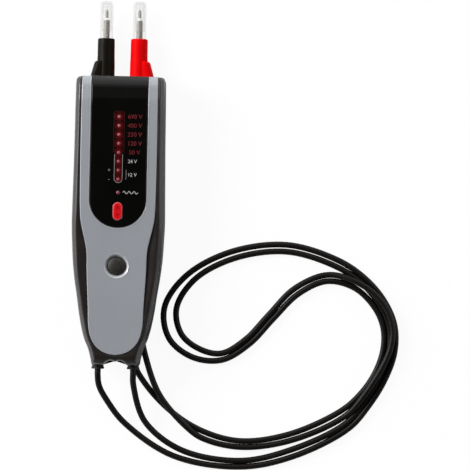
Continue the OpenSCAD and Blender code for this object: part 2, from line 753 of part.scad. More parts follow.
module cord_clamp() {
    color([0.60, 0.60, 0.58]) placed() difference() {
        clamp_half = side_at(clamp_from) - frame_wall - clamp_play;
        box_from([-clamp_half, clamp_from, shell_depth], [clamp_half, clamp_to, shell_depth + clamp_rise]);
        both_sides() along(exit_reach, exit_level) cylinder(case_top, d = exit_tail + exit_play,
            $fn = round_steps);
    }
}
module lead_wires() {
    rise = board_seat - wire_width / 2 - nothing;
    color([0.70, 0.10, 0.10]) placed() both_sides()
        tube([[exit_reach, exit_tail_to, exit_level], [exit_reach, exit_tail_to + wire_lead, exit_level],
            [exit_reach, wire_knee, exit_level + wire_width * 2], [wire_reach, wire_end - wire_width, rise],
            [wire_reach, wire_end, rise]], wire_width);
}

function unit(v) = v / norm(v);
// a smooth path through the points, two steps for each. Both ends run straight
function half_way(path, i) = i == 0 || i == len(path) - 2 ? (path[i] + path[i + 1]) / 2
    : let (a = path[i - 1], b = path[i], c = path[i + 1], d = path[i + 2],
        m = (b + c) * 9 / 16 - (a + d) / 16) [m[0], m[1], max(m[2], lead_diameter / 2)];
function smooth(path) = [for (i = [0:len(path) - 1]) each (i < len(path) - 1 ? [path[i],
    half_way(path, i)] : [path[i]])];
function part_of(path, first, last) = [for (i = [first:last]) path[i]];
function heading(path, i) = i == 0 ? unit(path[1] - path[0])
    : i == len(path) - 1 ? unit(path[i] - path[i - 1])
    : unit(unit(path[i] - path[i - 1]) + unit(path[i + 1] - path[i]));
function ring(path, i, wide) = let (t = heading(path, i), s = unit(cross(t, [0, 0, 1])), u = cross(s, t))
    [for (k = [0:lead_sides - 1]) let (a = (k + 0.5) * 360 / lead_sides)
        path[i] + (s * cos(a) + u * sin(a)) * wide / 2];
module tube(path, wide, first = 0, last = 0) {
    n = lead_sides;
    from = first;
    to = last > 0 ? last : len(path) - 1;
    m = to - from + 1;
    polyhedron([for (i = [from:to]) each ring(path, i, wide)], ring_faces(n, m));
}
// a lead and its tail follow one path and meet on one ring
module lead_run(route, tail) {
    tube(smooth(concat(route, part_of(tail, 1, len(tail) - 1))), lead_diameter, 0, len(route) * 2 - 2);
}
module tail_run(route, tail) {
    path = smooth(concat(route, part_of(tail, 1, len(tail) - 1)));
    tube(path, lead_diameter, len(route) * 2 - 2, len(path) - 1);
}
module lead_black() { color([0.05, 0.05, 0.05]) placed() lead_run(route_black, tail_black); }
module lead_red() { color([0.05, 0.05, 0.05]) placed() lead_run(route_red, tail_red); }
module lead_tail_black() { color([0.05, 0.05, 0.05]) placed() tail_run(route_black, tail_black); }
module lead_tail_red() { color([0.05, 0.05, 0.05]) placed() tail_run(route_red, tail_red); }

module handle(side) {
    r = probe_diameter / 2;
    difference() {
        union() {
            along(side * probe_reach, probe_level) rotate_extrude($fn = probe_steps)
                polygon([[0, probe_from], [r - guard_lip, probe_from], [r, probe_from + guard_lip],
                    [r, guard_to], [handle_waist / 2, guard_to + handle_waist_long],
                    [handle_waist / 2, probe_to - handle_front_long],
                        [handle_front / 2, probe_to - guard_lip],
                    [handle_front / 2 - guard_lip, probe_to], [0, probe_to]]);
            // finger guard, on the outer side only
            translate([side * probe_reach, 0, probe_level]) intersection() {
                rotate([-90, 0, 0]) rotate_extrude($fn = probe_steps)
                    polygon([[0, guard_from], [guard_reach, guard_from],
                        [guard_reach, guard_from + guard_lip],
                        [guard_top_reach, guard_to - guard_lip], [r, guard_to], [0, guard_to]]);
                translate([side > 0 ? 0 : -guard_reach, 0, -r])
                    cube([guard_reach, case_top * 2, r * 2]);
            }
        }
        along(side * probe_reach, probe_level) {
            translate([0, 0, probe_from - beyond])
                cylinder(tip_from - probe_from + beyond, d = probe_bore, $fn = probe_steps);
            cylinder(case_top * 2, d = tip_diameter, $fn = probe_steps);
        }
    }
}
module probe_tip(side) {
    along(side * probe_reach, probe_level) rotate_extrude($fn = probe_steps)
        polygon([[0, tip_from], [tip_diameter / 2, tip_from], [tip_diameter / 2, tip_shoulder - tip_cone],
            [tip_point / 2 + tip_shoulder_step, tip_shoulder],
                [tip_point / 2, tip_shoulder + tip_shoulder_step],
            [tip_point / 2, tip_end - tip_cone], [tip_shoulder_step / 2, tip_end], [0, tip_end]]);
}
module probe_resistor(side) {
    along(side * probe_reach, probe_level) translate([0, 0, resistor_from])
        cylinder(tip_from - resistor_from, d = resistor_width, $fn = round_steps / 2);
}
module probe_boot(side) {
    rib_step = (probe_from - boot_collar - tail_from) / boot_ribs;
    grow = (tail_large - tail_small) / 2 / boot_ribs;
    along(side * probe_reach, probe_level) union() {
        rotate_extrude($fn = probe_steps)
            polygon(concat([[0, tail_from]],
                [for (i = [0:boot_ribs - 1], j = [0:3])
                    [tail_small / 2 + grow * i + (j == 1 || j == 2 ? boot_rib : 0),
                        tail_from + rib_step * (i + j / 4)]],
                [[tail_large / 2, probe_from - boot_collar], [tail_large / 2, probe_from],
                    [probe_bore / 2, probe_from], [probe_bore / 2, probe_from + spigot],
                        [0, probe_from + spigot]]));
    }
}
function corner(reach, level, round, turns) =
    [for (a = turns) [reach - round * (1 - cos(a)), level - round * (1 - sin(a))]];
module cap(side) {
    low = probe_to + cap_seat_gap;
    outer = cap_diameter / 2;
    inner = outer - cap_wall;
    mouth = tip_diameter / 2 + cap_play;
    along(side * probe_reach, probe_level) rotate_extrude($fn = probe_steps)
        polygon(concat([[mouth, low], [outer, low]], corner(outer, cap_end, cap_round, [0:22.5:90]),
            [[0, cap_end], [0, cap_end - cap_wall]],
            corner(inner, cap_end - cap_wall, cap_round - cap_wall, [90:-22.5:0]),
            [[inner, low + cap_mouth + cap_step], [mouth, low + cap_mouth]]));
}
module probe_black_handle() { color([0.10, 0.10, 0.10]) placed() handle(-1); }
module probe_black_tip() { color([0.75, 0.75, 0.76]) placed() probe_tip(-1); }
module probe_black_resistor() { color([0.45, 0.55, 0.65]) placed() probe_resistor(-1); }
module probe_black_boot() { color([0.06, 0.06, 0.06]) placed() probe_boot(-1); }
module cap_black() { color([0.80, 0.82, 0.84, 0.5]) placed() cap(-1); }
module probe_red_handle() { color([0.62, 0.06, 0.10]) placed() handle(1); }
module probe_red_tip() { color([0.75, 0.75, 0.76]) placed() probe_tip(1); }
module probe_red_resistor() { color([0.45, 0.55, 0.65]) placed() probe_resistor(1); }
module probe_red_boot() { color([0.06, 0.06, 0.06]) placed() probe_boot(1); }
module cap_red() { color([0.80, 0.82, 0.84, 0.5]) placed() cap(1); }

rear_shell();
bumper_frame();
front_panel();
display_window();
case_seal();
case_screws();
battery_cover();
cover_screw();
battery_cells();
battery_contacts();
circuit_board();
voltage_leds();
capsule_lens();
lamp_box();
tact_switch();
buzzer();
main_chip();
resistor_row();
cord_clamp();
lead_wires();
exit_boot_left();
exit_boot_right();
push_button();
lead_black();
lead_red();
lead_tail_black();
lead_tail_red();
probe_black_handle();
probe_black_tip();
probe_black_resistor();
probe_black_boot();
cap_black();
probe_red_handle();
probe_red_tip();
probe_red_resistor();
probe_red_boot();
cap_red();
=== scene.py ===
"""Looks of a two-pole voltage tester, laid over the solids of part.scad.

Lengths are millimetres in the axes of that source: X across the case, Y towards the tips, Z out of the
front. The function at() turns such a point into the shared frame.
"""
import math

import bmesh
import bpy
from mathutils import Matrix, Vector


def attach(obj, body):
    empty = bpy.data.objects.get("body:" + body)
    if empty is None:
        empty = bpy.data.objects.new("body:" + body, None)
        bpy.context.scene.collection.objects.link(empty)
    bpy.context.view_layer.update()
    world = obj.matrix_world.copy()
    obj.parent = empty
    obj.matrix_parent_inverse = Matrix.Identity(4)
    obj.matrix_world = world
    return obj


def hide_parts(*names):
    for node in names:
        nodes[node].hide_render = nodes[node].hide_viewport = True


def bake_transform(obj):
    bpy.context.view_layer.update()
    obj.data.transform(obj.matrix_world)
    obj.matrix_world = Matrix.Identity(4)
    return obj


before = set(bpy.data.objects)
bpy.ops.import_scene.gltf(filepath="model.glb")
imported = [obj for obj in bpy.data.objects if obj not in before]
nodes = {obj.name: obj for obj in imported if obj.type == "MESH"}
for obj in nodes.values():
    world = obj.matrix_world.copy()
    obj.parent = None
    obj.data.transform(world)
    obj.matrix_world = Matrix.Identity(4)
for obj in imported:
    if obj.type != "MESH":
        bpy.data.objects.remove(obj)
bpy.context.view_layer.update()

# millimetres in a metre
MM = 1000

# driving sizes, as in the source
CASE_TOP = 184
SHELL_DEPTH = 20
FRAME_RISE = 12.6
FRAME_WALL = 3.2
WINDOW_HALF = 18
WINDOW_ROUND = CASE_TOP - 79.8
PANEL_LEVEL = SHELL_DEPTH + 13
WINDOW_LEVEL = SHELL_DEPTH + 13.6
SLOPE_FROM = CASE_TOP - 15.5
LAMP_FIRST = CASE_TOP - 26.5
LAMP_PITCH = 5.76
LAMP_COUNT = 8
LAMP_SINGLE = 108.7
CAPSULE = 96.6
BUTTON = 61.3
PROBE_REACH = 10.8
PROBE_LEVEL = 7.2
HANDLE_R = 5.8
PROBE_FROM = 86
PROBE_TO = CASE_TOP + 25.7
TIP_R = 2.0
TIP_FROM = PROBE_TO - 62.6
TIP_END = PROBE_TO + 19.3
CAP_END = TIP_END + 5.4
EXIT_REACH = 11.5
EXIT_LEVEL = SHELL_DEPTH - 1
EXIT_FROM = -5.8
EXIT_STRAIGHT = 3.8
TAIL_FROM = 72
TAIL_STRAIGHT = 4.6
MIDDLE = (CAP_END + EXIT_FROM) / 2

LAMPS = [LAMP_FIRST - LAMP_PITCH * i for i in range(LAMP_COUNT)]

# smallest radius at the axis of a turned piece, joined to one point afterwards
POINT_R = 0.001
# distance in metres below which double points are joined
DOUBLE = 1e-6
# angle in degrees up to which the edges of turned pieces and plates are smooth
SMOOTH = 35
# points of a spline between two given ones, on outlines and on leads
OUTLINE_STEPS = 4
LEAD_STEPS = 10


def at(x, y, z):
    """A point of the source, as a point of the shared frame in metres."""
    return Vector((x / MM, (y - MIDDLE) / MM, z / MM))


def clamped(value):
    """A value held between 0 and 1."""
    return max(0.0, min(1.0, value))


def eased(value):
    """A share from 0 to 1 that starts and ends softly."""
    t = clamped(value)
    return t * t * (3 - 2 * t)


# shader nodes
def shader(name):
    """A new material, with its tree and its surface shader."""
    material = bpy.data.materials.new(name)
    material.use_nodes = True
    tree = material.node_tree
    return material, tree, tree.nodes["Principled BSDF"]


def fill(tree, target, inputs):
    """Set a node's inputs. Each is a value, or a socket to link from."""
    for key, value in inputs.items():
        if isinstance(value, bpy.types.NodeSocket):
            tree.links.new(value, target.inputs[key])
        else:
            target.inputs[key].default_value = value


def node(tree, kind, inputs=None, **settings):
    """A new shader node, with its inputs and settings."""
    made = tree.nodes.new("ShaderNode" + kind)
    for key, value in settings.items():
        setattr(made, key, value)
    fill(tree, made, inputs or {})
    return made


def axes(tree, coordinate="Object"):
    """The X, Y and Z of a shaded point."""
    place = node(tree, "TexCoord").outputs[coordinate]
    return node(tree, "SeparateXYZ", {0: place}).outputs


def noise(tree, scale, detail):
    """Noise in the axes of the object."""
    place = node(tree, "TexCoord").outputs["Object"]
    inputs = {"Vector": place, "Scale": scale, "Detail": detail, "Roughness": 0.55}
    return node(tree, "TexNoise", inputs).outputs["Fac"]


def spread(tree, value, low, high, start=0.3, end=0.7, soft=False):
    """The stretch from start to end of a value, mapped to the one from low to high."""
    inputs = {"Value": value, "From Min": start, "From Max": end, "To Min": low, "To Max": high}
    way = "SMOOTHSTEP" if soft else "LINEAR"
    return node(tree, "MapRange", inputs, interpolation_type=way).outputs["Result"]


def tint(tree, value, first, second, start=0.3, end=0.7):
    """A colour that goes from the first to the second as the value goes from start to end."""
    ramp = node(tree, "ValToRGB", {"Fac": value})
    stops = ramp.color_ramp.elements
    stops[0].position = start
    stops[1].position = end
    stops[0].color = (*first, 1)
    stops[1].color = (*second, 1)
    return ramp.outputs["Color"]


def calc(tree, operation, *values):
    """The result of one step of arithmetic."""
    return node(tree, "Math", dict(enumerate(values)), operation=operation).outputs[0]


def bump(tree, height, strength, depth):
    """A normal that is bumped by a height. The depth is in metres."""
    inputs = {"Strength": strength, "Distance": depth, "Height": height}
    return node(tree, "Bump", inputs).outputs["Normal"]


# materials
def plastic(name, dark, light, rough, grain=2600, strength=0.25, depth=0.00006, patch=45, spec=0.5,
            coat=0.0, metallic=0.0):
    """Moulded plastic or rubber: slow patches in the colour, fine grain in the gloss and the bump."""
    material, tree, surface = shader(name)
    fine = noise(tree, grain, 2)
    fill(tree, surface, {
        "Base Color": tint(tree, noise(tree, patch, 4), dark, light),
        "Roughness": spread(tree, fine, rough - 0.05, rough + 0.06),
        "Specular IOR Level": spec,
        "Coat Weight": coat,
        "Coat Roughness": 0.12,
        "Metallic": metallic,
        "Normal": bump(tree, fine, strength, depth),
    })
    return material


def printed(name, dark, light, rough=0.5, spec=0.3):
    """Print on the window: nearly no grain."""
    return plastic(name, dark, light, rough, strength=0.1, spec=spec)


def moulded_lens(name, dark, light, rough=0.3, spec=0.5):
    """Red plastic of the lamps."""
    return plastic(name, dark, light, rough, grain=900, strength=0.1, spec=spec)


def metal(name, dark, light, rough, metallic=1.0):
    """Metal with fine marks in its colour and gloss."""
    material, tree, surface = shader(name)
    fill(tree, surface, {
        "Base Color": tint(tree, noise(tree, 900, 3), dark, light),
        "Metallic": metallic,
        "Roughness": spread(tree, noise(tree, 1800, 2), rough - 0.05, rough + 0.07),
        "Normal": bump(tree, noise(tree, 2500, 2), 0.08, 0.00003),
    })
    return material


def clear_plastic():
    """Thin clear plastic: nearly invisible face on, greyer where the wall is seen edge on."""
    material, tree, surface = shader("clear_plastic")
    facing = node(tree, "LayerWeight", {"Blend": 0.35}).outputs["Facing"]
    fill(tree, surface, {
        "Base Color": tint(tree, noise(tree, 60, 2), (0.22, 0.23, 0.22), (0.28, 0.29, 0.28)),
        "Alpha": spread(tree, facing, 0.08, 0.2, 0.1, 0.95),
        "Roughness": spread(tree, noise(tree, 900, 2), 0.05, 0.12),
        "Normal": bump(tree, noise(tree, 500, 2), 0.05, 0.00003),
    })
    return material


def wire_plastic():
    """Insulation of the inner wires: black on the left side of the case, red on its right."""
    material, tree, surface = shader("wire_plastic")
    fine = noise(tree, 1500, 2)
    pick = node(tree, "Mix", data_type="RGBA")
    fill(tree, pick, {
        "Factor": spread(tree, axes(tree)["X"], 0, 1, -0.0005, 0.0005),
        "A": tint(tree, noise(tree, 300, 2), (0.006, 0.005, 0.004), (0.010, 0.009, 0.008)),
        "B": tint(tree, noise(tree, 300, 2), (0.40, 0.004, 0.006), (0.50, 0.008, 0.010)),
    })
    fill(tree, surface, {
        "Base Color": pick.outputs["Result"],
        "Roughness": spread(tree, fine, 0.38, 0.5),
        "Normal": bump(tree, fine, 0.15, 0.00003),
    })
    return material


def lamp_print_painted_glow():
    """Dark red print with a painted glow: painted light, brightest round each lamp of the row."""
    near = 1.0
    far = 3.3
    material, tree, surface = shader("lamp_print_painted_glow")
    place = axes(tree)
    first = (LAMPS[-1] - MIDDLE) / LAMP_PITCH
    along = calc(tree, "MULTIPLY_ADD", place["Y"], MM / LAMP_PITCH, 0.5 - first)
    past = calc(tree, "SUBTRACT", calc(tree, "FRACT", along), 0.5)
    up = calc(tree, "MULTIPLY", past, LAMP_PITCH)
    aside = calc(tree, "MULTIPLY", place["X"], MM)
    squares = [calc(tree, "MULTIPLY", way, way) for way in (up, aside)]
    distance = calc(tree, "SQRT", calc(tree, "ADD", *squares))
    painted_glow_noise = calc(tree, "MULTIPLY_ADD", noise(tree, 900, 2), 0.7, -0.35)
    share = spread(tree, calc(tree, "ADD", distance, painted_glow_noise), 0, 1, near, far)
    # painted glow: lighter red near each lamp, fading out to the dark red print, its edge made uneven by
    # noise
    fill(tree, surface, {
        "Base Color": tint(tree, share, (0.10, 0.003, 0.004), (0.008, 0.0025, 0.0025), 0, 1),
        "Roughness": 0.12,
        "Specular IOR Level": 0.2,
        "Normal": bump(tree, noise(tree, 400, 2), 0.03, 0.00002),
    })
    return material


MATERIALS = {
    # case
    "frame": plastic("frame_plastic", (0.009, 0.007, 0.0062), (0.015, 0.0118, 0.0105), 0.31,
                     strength=0.2, spec=0.6),
    "shell": plastic("shell_plastic", (0.018, 0.017, 0.016), (0.028, 0.025, 0.024), 0.48, strength=0.35),
    "cover": plastic("cover_plastic", (0.017, 0.016, 0.016), (0.025, 0.023, 0.022), 0.5, strength=0.35),
    "silver": plastic("silver_plastic", (0.305, 0.319, 0.347), (0.334, 0.348, 0.377), 0.38, grain=5200,
                      strength=0.12, depth=0.00003, patch=18, metallic=0.3),
    # a lighter copy of the silver for the rims: painted highlight in its colour
    "silver_painted_highlight": plastic("silver_painted_highlight", (0.42, 0.43, 0.45), (0.48, 0.49, 0.51), 0.3, grain=5200,
                           strength=0.1, depth=0.00003, metallic=0.3),
    "window": plastic("window_plastic", (0.0010, 0.0010, 0.0008), (0.0018, 0.0018, 0.0014), 0.1,
                      grain=300, strength=0.02, depth=0.00002, spec=0.4),
    "seal": plastic("seal_rubber", (0.012, 0.012, 0.012), (0.02, 0.02, 0.02), 0.7),
    "button": plastic("button_rubber", (0.006, 0.0054, 0.0046), (0.021, 0.0195, 0.015), 0.5, grain=1300,
                      strength=0.7, depth=0.00016, patch=620, spec=0.36),
    # probes and leads
    "black": plastic("black_plastic", (0.004, 0.0032, 0.0018), (0.008, 0.006, 0.0035), 0.42,
                     strength=0.3, spec=0.06),
    "red": plastic("red_plastic", (0.65, 0.0005, 0.0012), (0.71, 0.0009, 0.0021), 0.5,
                   strength=0.2, spec=0.03),
    "boot": plastic("boot_rubber", (0.009, 0.0075, 0.007), (0.016, 0.0135, 0.0125), 0.5,
                    strength=0.3, spec=0.3),
    "lead": plastic("lead_rubber", (0.0035, 0.0028, 0.0024), (0.0065, 0.0052, 0.0045), 0.42,
                    grain=1500, strength=0.2, spec=0.16),
    "clear": clear_plastic(),
    "tip": metal("tip_metal", (0.27, 0.258, 0.235), (0.34, 0.325, 0.30), 0.58, 0.3),
    "collar": metal("collar_steel", (0.8, 0.79, 0.77), (0.86, 0.85, 0.83), 0.22),
    # lamps and prints of the window
    "lamp": moulded_lens("lamp_red", (0.22, 0.035, 0.045), (0.36, 0.11, 0.12)),
    "lens": moulded_lens("lens_red", (0.52, 0.003, 0.007), (0.60, 0.006, 0.011), 0.25, spec=0.25),
    "lens_rim": moulded_lens("lens_rim", (0.44, 0.050, 0.060), (0.52, 0.080, 0.090), spec=0.3),
    "lens_mark": moulded_lens("lens_mark", (0.32, 0.001, 0.003), (0.38, 0.002, 0.005), spec=0.2),
    "white": printed("print_white", (0.30, 0.30, 0.29), (0.40, 0.40, 0.39)),
    "grey": printed("print_grey", (0.16, 0.155, 0.15), (0.24, 0.23, 0.22)),
    "print_red": printed("print_red", (0.090, 0.009, 0.011), (0.130, 0.014, 0.017), spec=0.1),
    "rim_red": printed("print_rim_red", (0.040, 0.003, 0.003), (0.065, 0.005, 0.005), 0.4, 0.08),
    # painted glow round the lamps, on the dark red print
    "glow": lamp_print_painted_glow(),
    # inside
    "steel": metal("screw_steel", (0.42, 0.42, 0.43), (0.55, 0.55, 0.56), 0.32),
    "board": plastic("board_green", (0.010, 0.045, 0.018), (0.016, 0.065, 0.026), 0.35, coat=0.3),
    "cell": plastic("cell_wrap", (0.018, 0.018, 0.02), (0.028, 0.028, 0.031), 0.28, coat=0.3),
    "chip": plastic("chip_epoxy", (0.012, 0.012, 0.013), (0.018, 0.018, 0.019), 0.6),
    "ceramic": plastic("resistor_ceramic", (0.35, 0.27, 0.17), (0.42, 0.33, 0.22), 0.5),
    "wire": wire_plastic(),
}


# lines
def turns(steps):
    """The angles of a full turn."""
    return [2 * math.pi * k / steps for k in range(steps)]


def circle(y, radius, steps):
    """A circle round a point on the middle line."""
    return [(radius * math.cos(a), y + radius * math.sin(a)) for a in turns(steps)]


def upper_half(y, radius, steps):
    """Half a circle above its centre on the middle line, from the right to the left."""
    angles = [math.pi * k / steps for k in range(steps + 1)]
    return [(radius * math.cos(a), y + radius * math.sin(a)) for a in angles]


def lower_half(y, radius, steps):
    """Half a circle below its centre on the middle line, from the left to the right."""
    return [(-x, 2 * y - up) for x, up in upper_half(y, radius, steps)]


def slot_line(y, wide, long, steps=16):
    """An upright slot with round ends, its centre on the middle line."""
    radius = wide / 2
    straight = long / 2 - radius
    return upper_half(y + straight, radius, steps) + lower_half(y - straight, radius, steps)


def mirrored(line):
    """A line of points over on the left side, in reverse order."""
    return [(-x, y) for x, y in reversed(line)]


def above(start, profile):
    """A profile with its heights counted from a start."""
    return [(reach, start + height) for reach, height in profile]


def smooth_line(points, steps):
    """A centripetal spline through the points."""
    p = [2 * points[0] - points[1]] + points + [2 * points[-1] - points[-2]]
    line = []
    # each stretch runs from b to c, and a and d are its neighbours
    for a, b, c, d in zip(p, p[1:], p[2:], p[3:]):
        t1 = (b - a).length ** 0.5
        t2 = t1 + (c - b).length ** 0.5
        t3 = t2 + (d - c).length ** 0.5
        for k in range(steps):
            t = t1 + (t2 - t1) * k / steps
            a1 = a * ((t1 - t) / t1) + b * (t / t1)
            a2 = b * ((t2 - t) / (t2 - t1)) + c * ((t - t1) / (t2 - t1))
            a3 = c * ((t3 - t) / (t3 - t2)) + d * ((t - t2) / (t3 - t2))
            b1 = a1 * ((t2 - t) / t2) + a2 * (t / t2)
            b2 = a2 * ((t3 - t) / (t3 - t1)) + a3 * ((t - t1) / (t3 - t1))
            line.append(b1 * ((t2 - t) / (t2 - t1)) + b2 * ((t - t1) / (t2 - t1)))
    return line + [points[-1]]


def flat(points):
    """Points of a flat line, as vectors."""
    return [Vector((x, y, 0)) for x, y in points]


# meshes
def skin(rows, around=True, ends="filled"):
    """Points and faces over rows of points. A row closes on itself where around is set.

    The first and the last row are filled, joined to each other or left open.
    """
    count = len(rows[0])
    steps = [(k, (k + 1) % count) for k in range(count if around else count - 1)]
    links = [(i, i + 1) for i in range(len(rows) - 1)]
    last = (len(rows) - 1) * count
    if ends == "joined":
        links.append((len(rows) - 1, 0))
    faces = []
    for i, j in links:
        faces += [(i * count + a, i * count + b, j * count + b, j * count + a) for a, b in steps]
    if ends == "filled":
        faces.append(tuple(reversed(range(count))))
        faces.append(tuple(range(last, last + count)))
    return [point for row in rows for point in row], faces


def add_object(name, data):
    """A new object in the scene."""
    made = bpy.data.objects.new(name, data)
    bpy.context.scene.collection.objects.link(made)
    return made


def finished(name, mesh, shape):
    """The object of a bmesh, with its faces turned outward."""
    bmesh.ops.recalc_face_normals(shape, faces=shape.faces)
    shape.to_mesh(mesh)
    shape.free()
    return add_object(name, mesh)


def dress(made, material, body=None, angle=None):
    """Give an object its material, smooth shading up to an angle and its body."""
    made.data.materials.clear()
    made.data.materials.append(MATERIALS[material])
    if angle:
        made.data.shade_smooth()
        made.data.set_sharp_from_angle(angle=math.radians(angle))
    if body:
        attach(made, body)
    return made


def piece(name, surface, material, body, angle=40):
    """A piece from points and faces."""
    mesh = bpy.data.meshes.new(name)
    mesh.from_pydata(surface[0], [], surface[1])
    mesh.update()
    shape = bmesh.new()
    shape.from_mesh(mesh)
    bmesh.ops.remove_doubles(shape, verts=shape.verts, dist=DOUBLE)
    return dress(finished(name, mesh, shape), material, body, angle)


def turned(name, profile, axis, material, body, steps=64, ends="filled"):
    """A turned piece round an axis along Y, from (radius, height) points."""
    x, z = axis
    rows = []
    for radius, y in profile:
        radius = max(radius, POINT_R)
        rows.append([at(x + radius * math.cos(a), y, z + radius * math.sin(a)) for a in turns(steps)])
    return piece(name, skin(rows, ends=ends), material, body, SMOOTH)


def domes(name, spots, profile, material, body, steps=24, ends="filled"):
    """Turned shapes round axes along Z at the spots, from (radius, level) points."""
    points = []
    faces = []
    for y in spots:
        rows = [[at(*p, z) for p in circle(y, max(radius, POINT_R), steps)] for radius, z in profile]
        more, sides = skin(rows, ends=ends)
        faces += [tuple(len(points) + k for k in side) for side in sides]
        points += more
    return piece(name, (points, faces), material, body)


def curve_mesh(name, curve):
    """The mesh of a curve or text and a bmesh of it, with its double points joined."""
    source = add_object(name + "_curve", curve)
    bpy.context.view_layer.update()
    evaluated = source.evaluated_get(bpy.context.evaluated_depsgraph_get())
    mesh = bpy.data.meshes.new_from_object(evaluated)
    bpy.data.objects.remove(source)
    mesh.name = name
    shape = bmesh.new()
    shape.from_mesh(mesh)
    bmesh.ops.remove_doubles(shape, verts=shape.verts, dist=2 * DOUBLE)
    return mesh, shape


def outline_curve(name, loops, thick, edge):
    """A filled curve with round edges that stay inside its outline."""
    curve = bpy.data.curves.new(name, "CURVE")
    curve.dimensions = "2D"
    curve.fill_mode = "BOTH"
    for loop in loops:
        spline = curve.splines.new("POLY")
        spline.points.add(len(loop) - 1)
        for point, (x, y) in zip(spline.points, loop):
            point.co = (*at(x, y, 0), 1)
        spline.use_cyclic_u = True
    curve.extrude = (thick / 2 - edge) / MM
    curve.bevel_depth = edge / MM
    curve.bevel_resolution = 3
    curve.offset = -edge / MM
    return curve


def mark_edges(shape, angle):
    """Smooth the edges between two flat faces or two round ones, up to an angle, and no others."""
    shape.normal_update()
    for edge in shape.edges:
        level = [abs(face.normal.z) > 0.999 for face in edge.link_faces]
        edge.smooth = len(level) == 2 and level[0] == level[1] and edge.calc_face_angle(0) < angle


def plate(name, loops, levels, edge, material, fall=None, cuts=()):
    """A plate of the case with round edges. The first loop is its outline, and the others are holes.

    It is cut across at the cuts, so that it bends where its front falls.
    """
    low, high = levels
    mesh, shape = curve_mesh(name, outline_curve(name, loops, high - low, edge))
    for y in cuts:
        parts = shape.verts[:] + shape.edges[:] + shape.faces[:]
        bmesh.ops.bisect_plane(shape, geom=parts, plane_co=at(0, y, 0), plane_no=(0, 1, 0))
    mark_edges(shape, math.radians(SMOOTH))
    for point in shape.verts:
        point.co.z += (low + high) / 2 / MM
        if fall:
            point.co.z -= fall(point.co.y * MM + MIDDLE) / MM
    made = finished(name, mesh, shape)
    mesh.polygons.foreach_set("use_smooth", [True] * len(mesh.polygons))
    return dress(made, material, "case")


# the case

# the front falls towards the upper end by a slope, and then by a rounded edge
SLOPE_DROP = 2.0
EDGE_FROM = CASE_TOP - 6
EDGE_LONG = 6.2
EDGE_DROP = 1.1
EDGE_ROUND = 2.3
# and towards the toe by a curve
TOE_FROM = 3
TOE_LONG = 6
TOE_DROP = 2.6

# matching points from the toe to the upper end: on the case's outline, and on the panel's
OUTLINES = [
    ((0, -0.9), (0, 4)), ((2.6, -0.05), (1.7, 4.1)), ((4.4, -0.45), (3.0, 4.3)), ((6.2, -1.6), (4.4, 4.6)),
    ((7.5, -3.0), (5.4, 4.95)), ((11.5, -3.0), (7.6, 5.9)), ((15.2, -2.9), (10.2, 7.5)),
    ((15.9, 0), (11.8, 9)), ((17.7, 7.1), (14.0, 12)), ((20.4, 13.5), (15.9, 16)),
    ((22.2, 20), (17.0, 20.8)), ((23.5, 26.4), (17.5, 26.4)), ((24.6, 32.9), (17.6, 33)),
    ((25.5, 39.3), (17.9, 39.3)), ((26.5, 45.8), (18.2, 45.8)), ((27.5, 52), (18.6, 52)),
    ((28.3, 58.7), (18.9, 58.7)), ((28.9, 65), (19.0, 65)), ((29.3, 71.6), (19.4, 71.6)),
    ((29.65, 78), (20.7, 78)), ((29.9, 84.5), (22.3, 84.5)), ((30, 91), (23.6, 91)),
    ((29.9, 97), (24.0, 97)), ((29.8, 104), (24.2, 104)), ((29.5, 120), (24.4, 120)),
    ((29.3, 136), (24.5, 136)), ((29.15, 152), (24.5, 152)), ((29.1, 162), (24.45, 162)),
    ((29.0, 170), (24.45, 170)), ((28.95, 176), (24.4, 176)), ((28.85, 180.2), (24.4, 180.2)),
    ((28.3, 182.6), (24.4, 182.2)), ((26.6, 183.8), (24.4, 183.2)), ((24.4, 184), (24.3, 184)),
    ((12, 184), (12, 184)), ((0, 184), (0, 184)),
]
# the bumper's wall in rows from the joint up: how far inside the outline, and rise over the joint
BUMPER_FOOT = 0.25
BUMPER_EDGE = 2.3
BUMPER_WALL = [(0, BUMPER_FOOT), (0, 2), (0.02, 4), (0.12, 5.8), (0.36, 7.4), (0.8, 8.9), (1.45, 10.2),
               (BUMPER_EDGE, 11.2)]
# its top in rows from the edge in: share of the way to the panel, rise, and share of the hollow
BUMPER_TOP = [(0.05, 11.7, 0), (0.16, 12, 0.08), (0.36, 12.25, 0.38), (0.6, 12.35, 0.74), (0.9, 12.3, 1)]
# its drop beside the panel: distance from the panel's outline, rise, and share of the hollow
BUMPER_GAP = [(0.45, 12.1, 1), (0.36, 11.4, 0.8), (0.1, 10.4, 0.2), (0.02, 9.6, 0)]
# and its inner wall, in rises
BUMPER_INSIDE = [9.4, BUMPER_FOOT]
PANEL_NEAR = 0.6
TOP_INSET = 0.4
# the scallop in the middle of the toe, where the edge is rounded less
SCALLOP_TO = 1
SCALLOP_HALF = 12
SCALLOP_SOFT = 3
SCALLOP_SHARE = 0.3
# the hollow: its depth, where along the case it starts, is full and ends
HOLLOW_DEPTH = 1.0
HOLLOW_FROM = 14
HOLLOW_FULL = 28
HOLLOW_TO = 95
# and the widths of the bumper at which it starts and is full
HOLLOW_NARROW = 5.6
HOLLOW_WIDE = 9.0


def end_fall(y):
    """How far the front lies lower near the upper end."""
    slope = clamped((y - SLOPE_FROM) / (CASE_TOP - SLOPE_FROM))
    edge = clamped((y - EDGE_FROM) / EDGE_LONG)
    return SLOPE_DROP * slope + EDGE_DROP * edge + EDGE_ROUND * (1 - math.sqrt(1 - edge * edge))


def toe_fall(y):
    """How far the bumper lies lower near the toe."""
    return TOE_DROP * clamped((TOE_FROM - y) / TOE_LONG) ** 2


def closed_outline(points):
    """A smooth closed outline from the points of its right half."""
    right = smooth_line(flat(points), OUTLINE_STEPS)
    return right + [Vector((-p.x, p.y, 0)) for p in reversed(right[1:-1])]


